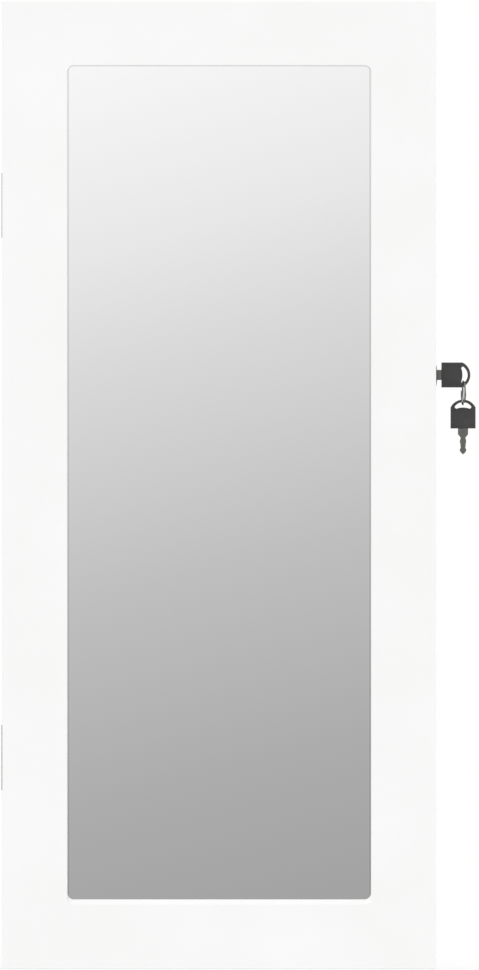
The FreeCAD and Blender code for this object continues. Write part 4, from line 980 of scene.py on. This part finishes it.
@dataclass
class RingRolls:
    """The row of velvet rolls that rings are pushed between."""

    count: int = 5
    finish: Finish = CUSHION_VELVET
    slack: float = 0.9 * MM  # the cover before it is filled, inside the space it ends up in
    clear: float = 0.15 * MM
    back_corner: float = 3.0 * MM
    stations: int = 56
    around: int = 44
    fineness: int = 60  # steps round the nose while the section is spaced out
    end_draw: float = 6.0 * MM  # length over which an end closes
    end_share: float = 0.42  # how much of the section is left where the end is sewn shut
    pleats: int = 11
    pleat_depth: float = 0.05
    pleat_reach: float = 2.5  # of the length over which an end closes
    pleat_turn: float = 1.7  # radians from one roll's pleats to the next one's
    swell: float = 0.9 * MM  # the furthest that a point may move while the cover fills
    frames: int = 14

    def build(self) -> None:
        """Makes every roll."""
        for number in range(1, self.count + 1):
            self.roll(number)

    def section(self, depth: float, height: float) -> list[tuple[float, float]]:
        """Gives the roll's section: half round in front, with soft corners at its flat back.

        Args:
            depth: From the back to the nose.
            height: From foot to top.

        Returns:
            Points evenly spaced round it, as (y, z) from the middle of the back.
        """
        half = height / 2
        corner = self.back_corner
        fine: list[tuple[float, float]] = []
        for step in range(self.fineness):
            turn = math.pi / 2 + math.pi * step / self.fineness
            fine.append((-(depth - half) + half * math.cos(turn), half * math.sin(turn)))
        quarter = self.fineness // 4
        for centre_z, start in ((-half + corner, -math.pi / 2), (half - corner, 0.0)):
            for step in range(quarter):
                turn = start + math.pi / 2 * step / (quarter - 1)
                fine.append((-corner + corner * math.cos(turn), centre_z + corner * math.sin(turn)))
        fine.append(fine[0])
        lengths = [math.dist(a, b) for a, b in zip(fine, fine[1:])]
        total = sum(lengths)
        points, travelled, at = [], 0.0, 0
        for number in range(self.around):
            goal = total * number / self.around
            while travelled + lengths[at] < goal:
                travelled += lengths[at]
                at += 1
            share = (goal - travelled) / lengths[at]
            points.append(tuple(a + (b - a) * share for a, b in zip(fine[at], fine[at + 1])))
        return points

    def cover(self, number: int, low: Vector, high: Vector) -> bpy.types.Mesh:
        """Makes the velvet cover before it is filled, drawn shut and pleated at both ends.

        Args:
            number: Which roll, from the top.
            low: The lowest corner of the space that it takes.
            high: The highest corner.

        Returns:
            The closed cover.
        """
        trim = self.slack + self.clear
        x0, x1 = low.x + trim, high.x - trim
        depth = high.y - low.y - trim - self.clear
        back = high.y - self.clear
        middle = (low.z + high.z) / 2
        outline = self.section(depth, high.z - low.z - 2 * trim)
        core_y = -depth / 2
        verts: list[tuple[float, float, float]] = []
        for station in range(self.stations):
            spread = math.sin(math.pi / 2 * (2 * station / (self.stations - 1) - 1))
            x = (x0 + x1) / 2 + (x1 - x0) / 2 * spread
            inset = min(x - x0, x1 - x)
            near_end = max(0.0, 1 - inset / self.end_draw)
            share = 1 - (1 - self.end_share) * (1 - math.sqrt(max(0.0, 1 - near_end ** 2)))
            pleat = math.exp(-inset / (self.pleat_reach * self.end_draw))
            for step, (y, z) in enumerate(outline):
                turn = 2 * math.pi * step / len(outline)
                wave = math.sin(self.pleats * turn + number * self.pleat_turn)
                fold = 1 + self.pleat_depth * pleat * wave
                verts.append((x, back + core_y + (y - core_y) * share * fold, middle + z * share * fold))
        faces = []
        for station in range(self.stations - 1):
            for step in range(self.around):
                near, after = station * self.around + step, station * self.around + (step + 1) % self.around
                faces.append((near, after, after + self.around, near + self.around))
        for end, way in ((0, -1), (self.stations - 1, 1)):
            verts.append((x0 if way < 0 else x1, back + core_y, middle))
            hub = len(verts) - 1
            for step in range(self.around):
                rim = (end * self.around + step, end * self.around + (step + 1) % self.around)
                faces.append((hub, *rim) if way > 0 else (hub, rim[1], rim[0]))
        mesh = bpy.data.meshes.new(f"ring_cushion_{number}")
        mesh.from_pydata(verts, [], faces)
        work = bmesh.new()
        work.from_mesh(mesh)
        bmesh.ops.recalc_face_normals(work, faces=work.faces)
        work.to_mesh(mesh)
        work.free()
        return mesh

    def fill(self, piece: bpy.types.Object, low: Vector, high: Vector) -> None:
        """Fills a cover as its foam does: the cloth swells while its glued back stays put.

        Args:
            piece: The cover.
            low: The lowest corner of the space that it takes.
            high: The highest corner.
        """
        rest = [v.co.copy() for v in piece.data.vertices]
        glued = piece.vertex_groups.new(name="glued")
        glued.add([n for n, co in enumerate(rest) if co.y > high.y - self.back_corner], 1.0, "REPLACE")
        cloth = piece.modifiers.new("filling", "CLOTH")
        for name, value in COVER_CLOTH.items():
            setattr(cloth.settings, name, value)
        cloth.settings.vertex_group_mass = "glued"
        cloth.settings.effector_weights.gravity = 0.0
        cloth.collision_settings.use_collision = False
        scene = bpy.context.scene
        for number in range(1, self.frames + 1):
            scene.frame_set(number)
        graph = bpy.context.evaluated_depsgraph_get()
        filled = [v.co.copy() for v in piece.evaluated_get(graph).data.vertices]
        piece.modifiers.clear()
        scene.frame_set(1)
        room_low = low + Vector((self.clear,) * 3)
        room_high = high - Vector((self.clear,) * 3)
        for vert, before, after in zip(piece.data.vertices, rest, filled):
            move = after - before
            if move.length > self.swell:
                move *= self.swell / move.length
            place = before + move
            vert.co = [min(max(place[a], room_low[a]), room_high[a]) for a in range(3)]

    def roll(self, number: int) -> None:
        """Makes one roll and puts it in place of the construction's plain one.

        Args:
            number: Which roll, from the top.
        """
        node = f"ring_roll_{number}"
        low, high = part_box(node)
        piece = piece_of(f"ring_cushion_{number}", self.cover(number, low, high))
        self.fill(piece, low, high)
        piece.data.materials.append(self.finish.material())
        piece.data.shade_smooth()
        smooth = piece.modifiers.new("smooth", "SUBSURF")
        smooth.levels = smooth.render_levels = 1
        worked_out(piece)
        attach(piece, "cabinet_body")
        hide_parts(node)
        log.info("%s: cushion of %d faces", node, len(piece.data.polygons))


@dataclass
class StudFoam:
    """The foam sheet behind the door's lining, which swells a little into each slit for ear studs."""

    finish: Finish = FOAM
    rows: int = 5
    columns: int = 12
    pitch_x: float = 16.0 * MM
    pitch_z: float = 36.0 * MM
    slit_length: float = 8.0 * MM
    slit_width: float = 1.4 * MM
    top_drop: float = 36.0 * MM  # from the opening's top to the first row
    rail: float = 45.0 * MM
    swell: float = 0.45 * MM
    swell_fineness: int = 3
    edge: float = 0.6 * MM
    edge_steps: int = 3

    def swelling_tree(self) -> Tree:
        """Builds the tree: a small swelling on every point of a grid, joined to the sheet.

        Returns:
            The node tree.
        """
        tree, given = growing_tree("foam in the slits", {
            "Columns": "Int", "Rows": "Int", "Pitch X": "Float", "Pitch Z": "Float",
            "Swelling": "Vector", "Middle": "Vector",
        })
        spans = []
        for count, pitch in (("Columns", "Pitch X"), ("Rows", "Pitch Z")):
            gaps = reckon(tree, "SUBTRACT", given[count], 1.0)
            spans.append(reckon(tree, "MULTIPLY", gaps, given[pitch]))
        grid = add(tree, "GeometryNodeMeshGrid", {
            "Size X": spans[0], "Size Y": spans[1],
            "Vertices X": given["Columns"], "Vertices Y": given["Rows"],
        })
        upright = add(tree, "GeometryNodeTransform", {
            "Geometry": grid.outputs["Mesh"], "Rotation": (math.pi / 2, 0.0, 0.0),
            "Translation": given["Middle"],
        })
        drop = add(tree, "GeometryNodeMeshIcoSphere", {"Radius": 1.0, "Subdivisions": self.swell_fineness})
        placed = add(tree, "GeometryNodeInstanceOnPoints", {
            "Points": upright.outputs[0], "Instance": drop.outputs["Mesh"], "Scale": given["Swelling"],
        })
        real = add(tree, "GeometryNodeRealizeInstances", {"Geometry": placed.outputs[0]})
        both = add(tree, "GeometryNodeJoinGeometry", {"Geometry": given["Geometry"]})
        tree.links.new(real.outputs[0], both.inputs["Geometry"])
        dressed = add(tree, "GeometryNodeSetMaterial",
                      {"Geometry": both.outputs[0], "Material": given["Material"]})
        add(tree, "NodeGroupOutput", {"Geometry": dressed.outputs[0]})
        return tree

    def build(self) -> None:
        """Makes the sheet with its swellings, in place of the construction's plain sheet."""
        low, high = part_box("earring_foam")
        work = bmesh.new()
        bmesh.ops.create_cube(work, size=1.0)
        for vert in work.verts:
            vert.co = [(low[a] + high[a]) / 2 + vert.co[a] * (high[a] - low[a]) for a in range(3)]
        bmesh.ops.bevel(work, geom=list(work.edges), offset=self.edge, segments=self.edge_steps,
                        affect="EDGES")
        mesh = bpy.data.meshes.new("stud_foam")
        work.to_mesh(mesh)
        work.free()
        piece = piece_of("stud_foam", mesh)
        first = CAD_BOX[1].z - self.rail - self.top_drop
        grow(piece, self.swelling_tree(), {
            "Columns": self.columns, "Rows": self.rows, "Pitch X": self.pitch_x, "Pitch Z": self.pitch_z,
            "Swelling": (self.slit_length / 2, self.swell, self.slit_width / 2),
            "Middle": ((low.x + high.x) / 2, high.y, first - (self.rows - 1) * self.pitch_z / 2),
            "Material": self.finish.material(),
        })
        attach(piece, "mirror_door")
        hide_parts("earring_foam")
        log.info("earring_foam: %d swellings", self.rows * self.columns)


# ---- sub-assemblies


@dataclass
class Carcass:
    """The box on the wall, its linings and what is fitted in it."""

    shelves: tuple[str, ...] = ("upper_shelf", "lower_shelf")

    def build(self, screws: CrossHeadScrews) -> None:
        """Dresses the box from the outside in.

        Args:
            screws: What drives its screws.
        """
        wear(LACQUER, "side_panel_left", "side_panel_right", "top_panel", "bottom_panel", "back_panel",
             "hook_rail", *self.shelves)
        wear(BEECH, "carcass_dowels")
        wear(FLOCK, "back_lining", "side_lining_left", "side_lining_right", "deck_linings", "ring_tray")
        wear(ZINC, "hanger_plates", "shelf_pins")
        wear(POLISHED_NICKEL, "necklace_hooks", "guard_rails", "bracelet_rod", "rod_cups")
        wear(WHITE_PLASTIC, "catch_body")
        wear(FERRITE, "catch_magnet")
        screws.drive("hanger_screws", "cabinet_body", ZINC)
        screws.drive("catch_screws", "cabinet_body", SCREW_ZINC)
        RingRolls().build()


@dataclass
class Door:
    """The framed mirror, and the fittings for earrings on its back."""

    bars: int = 4

    def build(self, screws: CrossHeadScrews) -> None:
        """Dresses the door from the mirror inwards.

        Args:
            screws: What drives its screws.
        """
        wear(LACQUER, "door_frame")
        wear(MIRROR, "mirror_glass")
        wear(HARDBOARD, "mirror_backing")
        wear(FLOCK, "door_lining")
        wear(BAR_PLASTIC, *[f"earring_bar_{number}" for number in range(1, self.bars + 1)])
        wear(BUMPER_CLEAR, "door_bumpers")
        wear(ZINC, "keeper_plate", "lock_strike")
        screws.drive("door_fitting_screws", "mirror_door", SCREW_ZINC)
        StudFoam().build()


@dataclass
class Hinges:
    """The two pairs of leaves, their pins and their screws."""

    places: tuple[str, ...] = ("upper", "lower")

    def build(self, screws: CrossHeadScrews) -> None:
        """Dresses the leaves and drives their screws.

        Args:
            screws: What drives the screws.
        """
        wear(NICKEL, *[f"hinge_{place}_{side}_leaf" for place in self.places for side in ("body", "door")])
        wear(NICKEL, "hinge_pins")
        screws.drive("hinge_body_screws", "cabinet_body", NICKEL)
        screws.drive("hinge_door_screws", "mirror_door", NICKEL)


@dataclass
class Lock:
    """The cam lock, its two keys and the ring between them."""

    keys: tuple[str, ...] = ("one", "two")

    def build(self) -> None:
        """Dresses the lock and its keys."""
        wear(CHROME, "lock_body", "lock_nut", "lock_plug")
        wear(CAM_ZINC, "lock_cam", "cam_screw")
        wear(GRIP_PLASTIC, *[f"key_{key}_head" for key in self.keys])
        wear(KEY_METAL, *[f"key_{key}_blade" for key in self.keys])
        wear(RING_METAL, "key_ring")


def main() -> None:
    """Builds the studio and dresses the cabinet, one sub-assembly after another."""
    logging.basicConfig(level=logging.INFO, format="%(message)s")
    Studio().build()
    screws = CrossHeadScrews()
    Carcass().build(screws)
    Door().build(screws)
    Hinges().build(screws)
    Lock().build()


if __name__ == "__main__":
    main()
